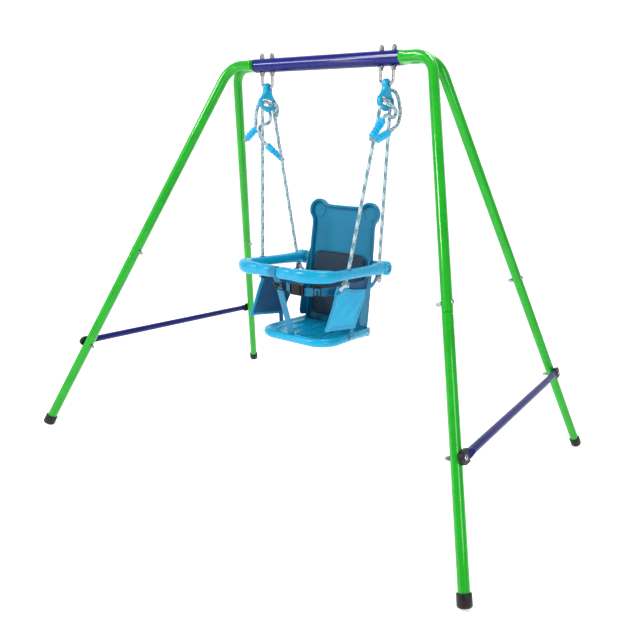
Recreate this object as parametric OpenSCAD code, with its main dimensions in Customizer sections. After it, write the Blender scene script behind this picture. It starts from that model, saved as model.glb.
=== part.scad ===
// Toddler swing set: one bucket swing hung from a short top bar on four splayed
// tube legs. Millimetres. +X runs along the top bar, -Y is the front, +Z is up.
// The origin is on the floor, under the middle of the top bar.

/* [Frame] */
// Height of the top bar's axis above the floor
bar_height = 1170; // [1000:5:1400]
// Distance between the left and right feet, axis to axis on the floor
foot_span_x = 1560; // [1200:10:1900]
// Distance between the front and rear feet, axis to axis on the floor
foot_span_y = 980; // [700:10:1200]
// Outer diameter of a leg tube
leg_d = 28; // [22:0.5:35]
// Wall thickness of a leg tube
leg_wall = 1.5; // [1:0.1:3]
// Radius of the bend at the top of a leg, on its axis
bend_r = 70; // [45:1:110]
// Distance from the middle to the point where a leg's two straight axes meet
corner_x = 357; // [330:1:420]
// Height share of the joint between lower and upper leg
joint_share = 0.49; // [0.35:0.01:0.6]
// Length of the reduced spigot of a lower leg
spigot_len = 62; // [40:1:90]

/* [Top bar] */
// Outer diameter of the top bar
bar_d = 38; // [32:0.5:50]
// Wall thickness of the top bar
bar_wall = 1.5; // [1:0.1:3]
// Length of the top bar
bar_len = 520; // [420:5:700]
// How far the half-round leg ends go into the top bar
tongue_len = 85; // [60:1:110]

/* [Side braces] */
// Height share of the side braces along a leg
brace_share = 0.24; // [0.15:0.01:0.4]
// Outer diameter of a side brace
brace_d = 21; // [12:0.5:26]
// Length of the flattened and capped end of a side brace
brace_end = 36; // [28:1:50]

/* [Feet] */
// Outer diameter of a foot cap
foot_d = 35; // [31:0.5:45]
// Length of a foot cap along the leg
foot_len = 37; // [25:1:60]

/* [Swing bolts] */
// Distance of a swing bolt from the middle of the bar
hang_x = 215; // [180:1:235]
// Distance between the two shanks of a swing bolt
ubolt_gap = 40; // [34:1:48]
// Diameter of the swing bolt wire
ubolt_d = 8; // [6:0.5:10]
// Drop from the bar's axis to the wire that the hanger turns on
pivot_drop = 63; // [50:1:90]
// Radial play of the hanger eye on the wire
eye_play = 0.08; // [0.02:0.01:0.1]

/* [Ropes] */
// Rope diameter
rope_d = 10; // [7:0.5:14]
// Height of the rope holes in the hangers
rope_top_z = 1058; // [1040:1:1070]
// Half the distance between the two ropes of one hanger, at the hanger
rope_top_y = 24; // [18:1:30]
// Half the distance between front and rear rope, at the guard
rope_low_y = 85; // [60:1:110]

/* [Guard ring] */
// Half width of the guard ring, to the axis of its arms
ring_x = 166; // [140:1:190]
// Height of the guard ring's middle
ring_z = 592; // [560:1:640]
// Forward reach of the guard ring's front bar from the seat's reference line
ring_front = 180; // [150:1:220]
// Rearward reach of the guard ring's end bosses
ring_rear = 145; // [120:1:170]
// Diameter of the guard ring's arms
ring_d = 29; // [26:0.5:42]
// Radius of the thick lobes at the front of the guard ring
lobe_r = 18; // [16:0.5:27]

/* [Seat] */
// Shift of the whole seat along Y that puts its centre of mass under the pivots
seat_y = -28.5; // [-60:0.5:30]
// Half width of the seat pan
pan_x = 142; // [110:1:160]
// Forward reach of the seat pan
pan_front = 125; // [100:1:150]
// Rearward reach of the seat pan
pan_rear = 100; // [80:1:120]
// Height of the middle of the pan's rolled rim
pan_z = 381; // [350:1:420]
// Radius of the pan's rolled rim
pan_roll = 13; // [9:0.5:18]

/* [Backrest] */
// Lean of the backrest from upright, in degrees
back_lean = 5.3; // [0:0.1:15]
// Height of the backrest along its own plane, up to the dip between the lobes
back_h = 410; // [340:1:430]
// Half width of the backrest at its foot
back_x = 126; // [100:1:140]

/* [Hidden] */
$fn = 96;

green = [0.13, 0.62, 0.13];
blue = [0.05, 0.08, 0.42];
navy = [0.04, 0.05, 0.25];
cyan = [0.10, 0.60, 0.82];
black = [0.05, 0.05, 0.06];
zinc = [0.72, 0.73, 0.75];
white_rope = [0.78, 0.84, 0.86];

leg_r = leg_d / 2;
leg_bore_r = leg_r - leg_wall;
bar_r = bar_d / 2;
bar_bore_r = bar_r - bar_wall;
tongue_r = bar_bore_r - 0.2;
tongue_x = bar_len / 2 - tongue_len;
rise_y = foot_span_y / 2 - leg_r - 0.4;
lean = atan(rise_y / bar_height);
slope_h = bar_height / cos(lean);
run_x = foot_span_x / 2 - corner_x;
splay = round(1000 * atan(run_x / slope_h)) / 1000;
bend = 90 - splay;
bend_t = bend_r * tan(bend / 2);
leg_len = sqrt(run_x * run_x + slope_h * slope_h);
// outward normal of a side frame, and the turn that brings a leg's own X axis onto it
na_tilt = atan(run_x / bar_height);
twist = asin(sin(na_tilt) * sin(lean));
joint_s = joint_share * leg_len;
brace_s = brace_share * leg_len;
brace_off = leg_r + 5.2;
brace_px = foot_span_x / 2 - brace_share * run_x + brace_off * cos(na_tilt);
brace_py = foot_span_y / 2 - brace_share * rise_y;
brace_pz = brace_share * bar_height + brace_off * sin(na_tilt);
foot_gap = leg_r * tan(lean) + 7;
// where a foot cap's end lies along the leg, so that its lower edge stands on the floor
foot_s = 5.4;

pivot_z = bar_height - pivot_drop;
eye_r = ubolt_d / 2 + eye_play;
ubolt_corner = ubolt_gap / 2 - 8;
hanger_t = 14;

rope_dx = hang_x - ring_x;
rope_dy = rope_low_y - rope_top_y;
rope_dz = rope_top_z - ring_z;
rope_len = sqrt(rope_dx * rope_dx + rope_dy * rope_dy + rope_dz * rope_dz);
rope_polar = atan2(sqrt(rope_dx * rope_dx + rope_dy * rope_dy), rope_dz);
rope_turn = atan2(rope_dy, rope_dx);
knot_drop = 31;
belt_z = 515;
belt_v = 162;
strap_top_z = ring_z - ring_d / 2 - 0.6;
strap_dy = ring_front - pan_front + pan_roll - 1;
strap_lean = atan(strap_dy / (strap_top_z - pan_z - 10));
slider_drop = 28;

// tail routes of the ropes, from inside the hanger window to the ribbed end
tail_rr = [[215, 22, 1064], [207, 23, 1066], [200, 27, 1076], [201, 32, 1090], [211, 35, 1098],
           [223, 37, 1092], [230, 42, 1076], [232, 49, 1056], [232, 52, 1034],
           [231, 45, 1014], [229, 28, 1000], [228, 13, 991], [227, 2, 984]];
tail_rf = [[215, -22, 1064], [224, -22, 1064], [231, -17, 1058], [235, -5, 1052], [237, 9, 1049],
           [237, 20, 1042], [236, 20, 1031], [235, 9, 1025], [234, -6, 1026], [233, -20, 1027],
           [232, -31, 1022], [231, -38, 1012]];
tail_lf = [[-215, -22, 1064], [-224, -22, 1064], [-231, -26, 1054], [-231, -33, 1036],
           [-229, -38, 1016], [-227, -41, 1000], [-226, -44, 986]];
tail_lr = [[-215, 22, 1064], [-224, 22, 1064], [-232, 25, 1054], [-233, 30, 1036],
           [-232, 28, 1018], [-231, 14, 1008], [-230, -4, 1004], [-230, -18, 996],
           [-230, -24, 982], [-229, -20, 966], [-227, -6, 952], [-225, 8, 942]];

// ---------- helpers ----------

module mirror_to(sx, sy) {
    mirror([sx < 0 ? 1 : 0, 0, 0])
        mirror([0, sy > 0 ? 1 : 0, 0])
            children();
}

// plane of one leg: X along the bar, -Z down the slope
module leg_plane() {
    translate([0, -leg_r - 0.4, bar_height])
        rotate([-lean, 0, 0])
            children();
}

// a frame on a leg's axis, s above the floor: Z up the leg, X in the leg's own bend plane
module leg_line(s) {
    leg_plane()
        translate([corner_x, 0, 0])
            rotate([0, -splay, 0])
                translate([0, 0, s - leg_len])
                    children();
}

// the same frame turned about the leg until X is the side frame's normal
module leg_axis(s) {
    leg_line(s)
        rotate([0, 0, -twist])
            children();
}

// the middle of a side brace, with X outward
module brace_frame() {
    translate([brace_px, 0, brace_pz])
        rotate([0, -na_tilt, 0])
            children();
}

// along the rope from the guard up to the hanger, front right
module rope_axis() {
    translate([ring_x, -rope_low_y, ring_z])
        rotate([0, rope_polar, rope_turn])
            children();
}

module along_x() {
    rotate([0, 90, 0])
        children();
}

module along_y() {
    rotate([-90, 0, 0])
        children();
}

module round_rect(w, h, r) {
    square([w - 2 * r, h], center = true);
    square([w, h - 2 * r], center = true);
    for (i = [-1, 1], j = [-1, 1])
        translate([i * (w / 2 - r), j * (h / 2 - r)])
            circle(r = r);
}

// hexagon nut with a washer face, standing on z = 0
module hex_nut(af, h, d) {
    difference() {
        intersection() {
            cylinder(d = af / cos(30), h = h, $fn = 6);
            cylinder(r1 = af / 2 + 0.4, r2 = af / 2 + 0.4 + h, h = h);
            translate([0, 0, -0.01])
                cylinder(r1 = af / 2 + 0.4 + h, r2 = af / 2 + 0.3, h = h + 0.02);
        }
        translate([0, 0, -1])
            cylinder(d = d, h = h + 2);
    }
}

// domed cap nut, standing on z = 0
module cap_nut(af, h, d) {
    difference() {
        union() {
            cylinder(d = af / cos(30), h = h * 0.45, $fn = 6);
            cylinder(d = af * 0.92, h = h - af * 0.46);
            translate([0, 0, h - af * 0.46])
                sphere(d = af * 0.92);
        }
        translate([0, 0, -1])
            cylinder(d = d, h = h * 0.7 + 1);
        translate([0, 0, -af])
            cube(2 * af, center = true);
    }
}

module washer(d_out, d_in, h) {
    difference() {
        cylinder(d = d_out, h = h);
        translate([0, 0, -1])
            cylinder(d = d_in, h = h + 2);
    }
}

// round-headed bolt along -Z, its head above z = 0
module round_bolt(d, len, head_d, head_h) {
    translate([0, 0, -len])
        cylinder(d = d, h = len + 0.5);
    intersection() {
        translate([0, 0, head_h - head_d * 0.62])
            sphere(d = head_d * 1.24);
        cylinder(d = head_d, h = head_h + 1);
    }
}

// tube with straight stretches through hand-set points
function unit(v) = v / norm(v);
function tangent(p, i) =
    i == 0 ? unit(p[1] - p[0])
    : i == len(p) - 1 ? unit(p[i] - p[i - 1])
    : unit(unit(p[i + 1] - p[i]) + unit(p[i] - p[i - 1]));
function side_of(t, s) = unit(s - t * (s * t));
function sides(p, i) =
    i == 0 ? [side_of(tangent(p, 0), [0.13, 0.21, 0.97])]
    : let (q = sides(p, i - 1)) concat(q, [side_of(tangent(p, i), q[i - 1])]);
function tube_points(p, r, n) =
    let (s = sides(p, len(p) - 1))
    [for (i = [0:len(p) - 1])
        let (t = tangent(p, i), a = s[i], b = cross(t, a))
        for (k = [0:n - 1])
            p[i] + r * (cos(360 * k / n) * a + sin(360 * k / n) * b)];
function tube_faces(m, n) = concat(
    [[for (k = [0:n - 1]) k]],
    [for (i = [0:m - 2])
        for (k = [0:n - 1])
            let (k2 = (k + 1) % n)
            each [[i * n + k, (i + 1) * n + k, (i + 1) * n + k2],
                  [i * n + k, (i + 1) * n + k2, i * n + k2]]],
    [[for (k = [n - 1:-1:0]) (m - 1) * n + k]]);

module rope_tube(p) {
    polyhedron(points = tube_points(p, rope_d / 2, 12), faces = tube_faces(len(p), 12),
               convexity = 8);
}

// ---------- frame ----------

module top_bar() {
    color(blue)
    translate([0, 0, bar_height])
    difference() {
        translate([-bar_len / 2, 0, 0])
            along_x() cylinder(r = bar_r, h = bar_len);
        translate([-bar_len / 2 - 1, 0, 0])
            along_x() cylinder(r = bar_bore_r, h = bar_len + 2);
        for (s = [-1, 1], i = [-1, 1])
            translate([s * hang_x + i * ubolt_gap / 2, 0, -bar_r - 5])
                cylinder(d = ubolt_d + 0.8, h = bar_d + 10);
    }
}

// half-round section of the tongue, flat side up the middle, round side towards -X
module half_tongue(g) {
    intersection() {
        circle(r = tongue_r - g);
        translate([-60 - g - 0.1, -30])
            square([60, 60]);
    }
}

module tube_ring() {
    difference() {
        circle(r = leg_r);
        circle(r = leg_bore_r);
    }
}

// half-round tongue, closed where the round tube starts
module tongue() {
    translate([tongue_x, 0, bar_height])
        difference() {
            rotate([90, 0, 90])
                linear_extrude(height = bar_len / 2 + 4 - tongue_x)
                    half_tongue(0);
            translate([-1, 0, 0])
                rotate([90, 0, 90])
                    linear_extrude(height = bar_len / 2 + 2 - tongue_x)
                        half_tongue(leg_wall);
        }
}

module upper_leg() {
    color(green)
    difference() {
        union() {
            tongue();
            leg_plane()
                translate([corner_x - bend_t, 0, -bend_r]) {
                    translate([-0.02, 0, bend_r])
                        rotate([0, -90, 0])
                            linear_extrude(height = corner_x - bend_t - bar_len / 2 - 2.52)
                                tube_ring();
                    rotate([90, 0, 0])
                        rotate([0, 0, splay])
                            rotate_extrude(angle = bend)
                                translate([bend_r, 0])
                                    tube_ring();
                    rotate([0, -splay, 0])
                        translate([bend_r, 0, -0.02])
                            mirror([0, 0, 1])
                                linear_extrude(height = leg_len - bend_t - joint_s - 0.42)
                                    tube_ring();
                }
        }
        for (i = [-1, 1])
            translate([hang_x + i * ubolt_gap / 2, 0, bar_height - 30])
                cylinder(d = ubolt_d + 0.8, h = 60);
        leg_axis(joint_s + 25)
            translate([-20, 0, 0])
                along_x() cylinder(d = 6.4, h = 40);
    }
}

module lower_leg() {
    color(green)
    difference() {
        union() {
            leg_axis(foot_gap)
                cylinder(r = leg_r, h = joint_s - foot_gap - 5);
            leg_axis(joint_s - 5)
                cylinder(r1 = leg_r, r2 = leg_bore_r - 0.15, h = 5);
            leg_axis(joint_s - 0.01)
                cylinder(r = leg_bore_r - 0.15, h = spigot_len);
        }
        leg_axis(foot_gap - 1)
            cylinder(r = leg_bore_r, h = joint_s - foot_gap - 8);
        leg_axis(joint_s - 10)
            cylinder(r1 = leg_bore_r, r2 = leg_bore_r - 1.8, h = 8);
        leg_axis(joint_s - 3)
            cylinder(r = leg_bore_r - 1.8, h = spigot_len + 5);
        leg_axis(joint_s + 25)
            translate([-20, 0, 0])
                along_x() cylinder(d = 6.4, h = 40);
        leg_axis(brace_s)
            translate([-20, 0, 0])
                along_x() cylinder(d = 6.4, h = 40);
    }
}

module foot_cap() {
    color(black)
    difference() {
        union() {
            leg_axis(foot_s)
                cylinder(d1 = foot_d - 10, d2 = foot_d - 3, h = 2);
            leg_axis(foot_s + 2)
                cylinder(d1 = foot_d - 3, d2 = foot_d, h = 3);
            leg_axis(foot_s + 5)
                cylinder(d = foot_d, h = foot_len - 7 - foot_s);
            leg_axis(foot_len - 2)
                cylinder(d1 = foot_d, d2 = foot_d - 3, h = 2);
        }
        leg_axis(foot_gap - 0.3)
            cylinder(r = leg_r + 0.1, h = 60);
        translate([foot_span_x / 2 - 60, -foot_span_y / 2 - 60, -80])
            cube([120, 120, 80]);
    }
}

module leg_bolts() {
    color(zinc)
    for (sx = [-1, 1], sy = [-1, 1])
        mirror_to(sx, sy)
            leg_axis(joint_s + 25)
                translate([leg_r + 0.3, 0, 0])
                    along_x() round_bolt(6, 38, 13, 4.5);
}

module leg_nuts() {
    color(zinc)
    for (sx = [-1, 1], sy = [-1, 1])
        mirror_to(sx, sy)
            leg_axis(joint_s + 25)
                translate([-leg_r - 0.3, 0, 0])
                    rotate([0, -90, 0]) cap_nut(11, 15, 6.2);
}

// ---------- side braces ----------

module brace() {
    flat = 5;
    wide = 26;
    color(navy)
    brace_frame()
    difference() {
        union() {
            translate([0, -brace_py + 43, 0])
                along_y() cylinder(d = brace_d, h = 2 * brace_py - 86);
            for (s = [-1, 1])
                mirror([0, s > 0 ? 1 : 0, 0]) {
                    intersection() {
                        translate([0, -brace_py + 19, 0])
                            along_y() cylinder(d1 = wide - 1, d2 = brace_d, h = 24);
                        rotate([0, 0, 90])
                            translate([-brace_py + 19, 0, -20])
                                linear_extrude(height = 40)
                                    polygon([[0, -flat / 2 - 0.1], [24, -brace_d / 2 - 0.1],
                                             [24, brace_d / 2 + 0.1], [0, flat / 2 + 0.1]]);
                    }
                    translate([-flat / 2, -brace_py - 10, -wide / 2])
                        cube([flat, 30, wide]);
                }
        }
        translate([0, -brace_py + 46, 0])
            along_y() cylinder(d = brace_d - 2.4, h = 2 * brace_py - 92);
        translate([0, -brace_py - 20, 0])
            along_y() cylinder(d = 2, h = 2 * brace_py + 40);
        for (s = [-1, 1])
            translate([-20, s * brace_py, 0])
                along_x() cylinder(d = 6.4, h = 40);
    }
}

// one capped end of a side brace, front right
module brace_cap() {
    brace_frame()
    translate([0, -brace_py, 0])
    difference() {
        translate([-5, 0, 0])
            rotate([90, 0, 90])
                linear_extrude(height = 10)
                    union() {
                        translate([-1, 0]) circle(r = 16.5);
                        translate([-1, -16.5]) square([brace_end - 16, 33]);
                    }
        translate([-2.7, -10.3, -13.2])
            cube([5.4, 60, 26.4]);
        translate([-20, 0, 0])
            along_x() cylinder(d = 6.4, h = 40);
    }
}

module brace_caps() {
    color(black)
    for (sx = [-1, 1], sy = [-1, 1])
        mirror_to(sx, sy)
            brace_cap();
}

module brace_bolts() {
    color(zinc)
    for (sx = [-1, 1], sy = [-1, 1])
        mirror_to(sx, sy)
            leg_axis(brace_s)
                translate([brace_off + 5.2, 0, 0])
                    along_x() round_bolt(6, 47, 13, 4.5);
}

module brace_nuts() {
    color(zinc)
    for (sx = [-1, 1], sy = [-1, 1])
        mirror_to(sx, sy)
            leg_axis(brace_s)
                translate([-leg_r - 0.3, 0, 0])
                    rotate([0, -90, 0]) cap_nut(11, 14, 6.2);
}

// ---------- swing bolts ----------

module ubolt() {
    top = bar_height + bar_r + 8;
    mid_z = pivot_z + ubolt_corner;
    color(zinc)
    translate([hang_x, 0, 0]) {
        for (s = [-1, 1])
            translate([s * ubolt_gap / 2, 0, mid_z])
                cylinder(d = ubolt_d, h = top - mid_z);
        for (s = [0, 1])
            mirror([s, 0, 0])
                translate([8, 0, mid_z])
                    rotate([90, 0, 0])
                        rotate([0, 0, -90])
                            rotate_extrude(angle = 90)
                                translate([ubolt_corner, 0])
                                    circle(d = ubolt_d);
        translate([-8, 0, pivot_z])
            along_x() cylinder(d = ubolt_d, h = 16);
    }
}

module ubolt_lower_nuts() {
    color(zinc)
    for (s = [-1, 1], i = [-1, 1])
        translate([s * hang_x + i * ubolt_gap / 2, 0, bar_height - bar_r - 1.8 - 7.6])
            hex_nut(13, 7, ubolt_d + 0.2);
}

module ubolt_cap_nuts() {
    color(zinc)
    for (s = [-1, 1], i = [-1, 1])
        translate([s * hang_x + i * ubolt_gap / 2, 0, bar_height + bar_r + 0.2])
            cap_nut(13, 15, ubolt_d + 0.2);
}

module ubolt_washers() {
    color(zinc)
    for (s = [-1, 1], i = [-1, 1])
        translate([s * hang_x + i * ubolt_gap / 2, 0, bar_height - bar_r - 2])
            washer(18, ubolt_d + 0.4, 1.6);
}

// ---------- hangers and ropes ----------

module hanger() {
    color(cyan)
    difference() {
        translate([hang_x - hanger_t / 2, 0, pivot_z])
            hanger_plate();
        for (sy = [-1, 1])
            mirror_to(1, sy)
                rope_axis()
                    translate([0, 0, rope_len - 26])
                        cylinder(d = rope_d + 1.4, h = 31);
    }
}

module hanger_plate() {
    difference() {
        rotate([90, 0, 90])
            linear_extrude(height = hanger_t)
                difference() {
                    union() {
                        circle(r = 14);
                        polygon([[-14, 2], [-15, -12], [-23, -24], [-36.5, -37], [-37, -48],
                                 [-18, -63.5], [18, -63.5], [37, -48], [36.5, -37],
                                 [23, -24], [15, -12], [14, 2]]);
                        for (s = [-1, 1]) {
                            translate([s * 28, -42]) circle(r = 10);
                            translate([s * 17, -53]) circle(r = 10.5);
                        }
                    }
                    translate([0, -41.8]) round_rect(58, 19, 7);
                }
        translate([-1, 0, 0])
            along_x() cylinder(r = eye_r, h = hanger_t + 2);
        for (s = [0, 1])
            translate([s * hanger_t, 0, 0])
                mirror([s, 0, 0])
                    along_x() cylinder(r1 = eye_r + 1.6, r2 = eye_r, h = 1.6);
    }
}

// straight stretch of a rope, from the knot under the guard up into the hanger
module rope() {
    color(white_rope)
    rope_axis()
        translate([0, 0, -knot_drop - 2])
            cylinder(d = rope_d, h = knot_drop + 2 + rope_len + 3);
}

module rope_tail(p) {
    color(white_rope)
        rope_tube(p);
}

// ribbed end piece on its own axis, z = 0 where the rope goes in
module ribbed_end(headed, ribs, len, rib_r) {
    first = headed ? 25 : 6;
    step = (len - first - 4) / (ribs - 1);
    color(cyan)
    translate([0, 0, 0.3]) {
        cylinder(r = 4.4, h = len);
        if (headed)
            cylinder(r = 11, h = 18);
        for (i = [0:ribs - 1])
            translate([0, 0, first - 1.6 + i * step])
                cylinder(r = rib_r, h = 3.2);
    }
}

// short grip with thick rings close together
module ringed_end(rings, len, ring_r) {
    step = (len - 2) / rings;
    color(cyan)
    translate([0, 0, 0.3]) {
        cylinder(r = ring_r - 2, h = len);
        for (i = [0:rings - 1])
            translate([0, 0, 1 + i * step])
                cylinder(r = ring_r, h = step - 1.8);
    }
}

// puts a ribbed end at point a, pointing to point b
module aimed(a, b) {
    v = b - a;
    translate(a)
        rotate([0, atan2(norm([v[0], v[1]]), v[2]), atan2(v[1], v[0])])
            children();
}

module ribbed_end_rf() {
    aimed([231, -38, 1012], [228, -86, 961]) ribbed_end(true, 4, 64, 10.3);
}

module ribbed_end_rr() {
    aimed([227, 2, 984], [224, -58, 960]) ringed_end(5, 58, 10.6);
}

module ribbed_end_lf() {
    aimed([-226, -44, 986], [-224, -86, 953]) ribbed_end(false, 4, 50, 10.3);
}

module ribbed_end_lr() {
    aimed([-225, 8, 942], [-219, 76, 904]) ribbed_end(true, 4, 68, 10.3);
}

module rope_knots() {
    color(white_rope)
    for (sx = [-1, 1], sy = [-1, 1])
        mirror_to(sx, sy)
            rope_axis()
                translate([0, 0, -knot_drop]) {
                    translate([0, -5, 0]) sphere(r = 10);
                    translate([0, -5, 0]) along_y() cylinder(r = 10, h = 10);
                    translate([0, 5, 0]) sphere(r = 10);
                }
}

// ---------- guard ring ----------

module guard_ring() {
    cr = 80;
    cx = ring_x - cr;
    cy = cr - ring_front;
    color(cyan)
    difference() {
        translate([0, seat_y, ring_z]) {
            for (s = [0, 1])
                mirror([s, 0, 0]) {
                    translate([ring_x, cy, 0])
                        along_y() cylinder(d = ring_d, h = ring_rear - cy);
                    translate([cx, cy, 0])
                        rotate([0, 0, -90])
                            rotate_extrude(angle = 90)
                                translate([cr, 0]) circle(d = ring_d);
                    translate([ring_x - ring_d / 2 - 0.5, ring_rear, 0])
                        along_x() cylinder(r = 22.5, h = ring_d + 3);
                    translate([16, -ring_front, 0])
                        along_x() {
                            cylinder(r1 = lobe_r - 2, r2 = lobe_r, h = 6);
                            translate([0, 0, 6]) cylinder(r = lobe_r, h = 32);
                            translate([0, 0, 38]) cylinder(r1 = lobe_r, r2 = lobe_r - 2, h = 6);
                        }
                    translate([cx, cy, 0])
                        rotate([0, 0, -82])
                            rotate_extrude(angle = 68)
                                translate([cr, 0]) circle(r = lobe_r + 0.5);
                }
            translate([-cx, -ring_front, 0])
                along_x() cylinder(d = ring_d, h = 2 * cx);
        }
        for (s = [0, 1])
            mirror([s, 0, 0])
                translate([0, seat_y + ring_rear, ring_z]) {
                    translate([ring_x + ring_d / 2 - 3.5, 0, 0])
                        along_x() cylinder(r = 10.5, h = 20);
                    translate([ring_x - 40, 0, 0])
                        along_x() cylinder(d = 8.4, h = 80);
                }
        for (sx = [-1, 1], sy = [-1, 1])
            mirror_to(sx, sy)
                rope_axis()
                    translate([0, 0, -40])
                        cylinder(d = rope_d + 2, h = 80);
    }
}

module guard_bolts() {
    color(zinc)
    for (s = [0, 1])
        mirror([s, 0, 0])
            translate([ring_x + ring_d / 2 - 3.5, seat_y + ring_rear, ring_z])
                along_x() round_bolt(8, 67, 17, 5);
}

module guard_nuts() {
    color(zinc)
    for (s = [0, 1])
        mirror([s, 0, 0])
            translate([back_x - 5.3, seat_y + ring_rear, ring_z])
                rotate([0, -90, 0]) hex_nut(13, 7, 8.2);
}

// ---------- backrest ----------

module back_outline(g) {
    polygon([[-back_x + g, g], [back_x - g, g], [back_x - 2 - g, 250], [back_x - 6 - g, 366],
             [-back_x + 6 + g, 366], [-back_x + 2 + g, 250]]);
    for (s = [-1, 1])
        translate([s * 100, 389]) circle(r = 36 - g);
    translate([-100, 340]) square([200, back_h - 340 - g]);
}

// the backrest's own frame: Z up its plane, +Y to the rear
module back_frame() {
    translate([0, seat_y + pan_rear + 15, pan_z - 15])
        rotate([-back_lean, 0, 0])
            children();
}

module backrest() {
    color(cyan)
    difference() {
        union() {
            back_frame() {
                translate([0, 5, 0])
                    rotate([90, 0, 0])
                        linear_extrude(height = 5)
                            back_outline(0);
                translate([0, 5, 0])
                    rotate([90, 0, 0])
                        linear_extrude(height = 19)
                            difference() {
                                back_outline(0);
                                back_outline(5);
                            }
                for (s = [0, 1])
                    mirror([s, 0, 0])
                        translate([back_x - 5.5, 0, 0])
                            rotate([90, 0, 90])
                                linear_extrude(height = 5)
                                    polygon([[-46, 36], [0, 34], [0, 262], [-14, 262], [-38, 130]]);
                for (x = [-60, 0, 60])
                    translate([x - 1.5, 4, 20])
                        cube([3, 9, 300]);
            }
            for (s = [0, 1])
                mirror([s, 0, 0]) {
                    translate([back_x - 6, seat_y + ring_rear, ring_z])
                        along_x() cylinder(r = 19, h = ring_x - ring_d / 2 - 0.8 - back_x + 6);
                    translate([back_x - 22, seat_y + 116, pan_z - 4])
                        along_x() cylinder(r = 9, h = 22);
                }
        }
        for (s = [0, 1])
            mirror([s, 0, 0]) {
                translate([back_x - 40, seat_y + ring_rear, ring_z])
                    along_x() cylinder(d = 8.4, h = 80);
                translate([back_x - 40, seat_y + 116, pan_z - 4])
                    along_x() cylinder(d = 6.4, h = 80);
                translate([back_x - 19, seat_y + ring_rear, ring_z])
                    along_x() cylinder(r = 9.5, h = 13.8);
                translate([back_x - 34, seat_y + 116, pan_z - 4])
                    along_x() cylinder(r = 8.5, h = 11.8);
                back_frame()
                    translate([89.5, -20, belt_v - 15])
                        cube([5, 40, 30]);
            }
    }
}

module back_pad() {
    color(navy)
    difference() {
        back_frame()
            translate([0, -0.6, 150])
                rotate([90, 0, 0])
                    linear_extrude(height = 11)
                        round_rect(224, 226, 26);
        for (s = [-1, 1])
            back_frame()
                translate([s * 92 - 3.5, -20, belt_v - 16])
                    cube([7, 40, 32]);
    }
}

// ---------- seat pan ----------

module seat_pan() {
    fr = 62;
    rx = pan_x - pan_roll;
    fy = -pan_front + pan_roll;
    color(cyan)
    translate([0, seat_y, pan_z])
    difference() {
        union() {
            for (s = [0, 1])
                mirror([s, 0, 0]) {
                    translate([rx, fy + fr, 0])
                        along_y() cylinder(r = pan_roll, h = pan_rear - fy - fr);
                    translate([rx - fr, fy + fr, 0])
                        rotate([0, 0, -90])
                            rotate_extrude(angle = 90)
                                translate([fr, 0]) circle(r = pan_roll);
                    translate([rx - 1.2, pan_rear - 30, -14])
                        cube([6, 56, 26]);
                    translate([rx - 1.2, pan_rear + 16, -4])
                        along_x() cylinder(r = 13, h = 6);
                }
            translate([-rx + fr, fy, 0])
                along_x() cylinder(r = pan_roll, h = 2 * (rx - fr));
            translate([-rx, pan_rear - 4, -12])
                cube([2 * rx, 4, 20]);
            translate([0, 0, 3])
                linear_extrude(height = 5) {
                    translate([-rx, fy + fr]) square([2 * rx, pan_rear - fy - fr]);
                    translate([-rx + fr, fy]) square([2 * (rx - fr), fr + 1]);
                    for (s = [-1, 1])
                        translate([s * (rx - fr), fy + fr]) circle(r = fr);
                }
            for (x = [-80, -27, 27, 80])
                translate([x - 1.5, fy, -8])
                    cube([3, pan_rear - fy - 2, 12]);
        }
        for (s = [0, 1])
            mirror([s, 0, 0])
                translate([rx - 20, pan_rear + 16, -4])
                    along_x() cylinder(d = 6.4, h = 60);
        translate([-14.5, fy + 1, -40])
            cube([29, 5, 80]);
    }
}

module pan_bolts() {
    color(zinc)
    for (s = [0, 1])
        mirror([s, 0, 0])
            translate([pan_x - pan_roll + 5, seat_y + pan_rear + 16, pan_z - 4])
                along_x() round_bolt(6, 40, 13, 4.5);
}

module pan_nuts() {
    color(zinc)
    for (s = [0, 1])
        mirror([s, 0, 0])
            translate([back_x - 22.3, seat_y + 116, pan_z - 4])
                rotate([0, -90, 0]) hex_nut(10, 5.5, 6.2);
}

// ---------- soft parts ----------

module side_panel() {
    color(cyan)
    translate([145, seat_y, 0]) {
        rotate([90, 0, 90])
            linear_extrude(height = 4)
                polygon([[-81, 556], [88, 530], [18, 415], [-136, 431]]);
        translate([-2.6, -6, 376])
            cube([3.6, 22, 46]);
    }
}

module crotch_strap() {
    w = 25;
    t = 1.8;
    color(cyan)
    translate([-w / 2, seat_y, 0])
        rotate([90, 0, 90])
            linear_extrude(height = w) {
                translate([-ring_front, ring_z])
                    difference() {
                        circle(d = ring_d + 0.8 + 2 * t);
                        circle(d = ring_d + 0.8);
                    }
                polygon([[-ring_front + 3, ring_z - ring_d / 2 - 0.6],
                         [-ring_front + 6, ring_z - ring_d / 2 - 0.6],
                         [-pan_front + pan_roll + 4.4, pan_z + 10],
                         [-pan_front + pan_roll + 4.4, pan_z - 6],
                         [-pan_front + pan_roll + 2.6, pan_z - 6],
                         [-pan_front + pan_roll + 2.6, pan_z + 10]]);
            }
}

// ladder slider on the crotch strap
module strap_slider() {
    color(black)
    translate([0, seat_y - ring_front + 4.5 + slider_drop * tan(strap_lean),
               strap_top_z - slider_drop])
        rotate([strap_lean, 0, 0])
            difference() {
                translate([-17, -3, -12]) cube([34, 6, 24]);
                for (z = [-9, 2.5])
                    translate([-13, -5, z]) cube([26, 10, 6.5]);
                translate([-13.2, -1.6, -20]) cube([26.4, 3.2, 40]);
            }
}

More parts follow.
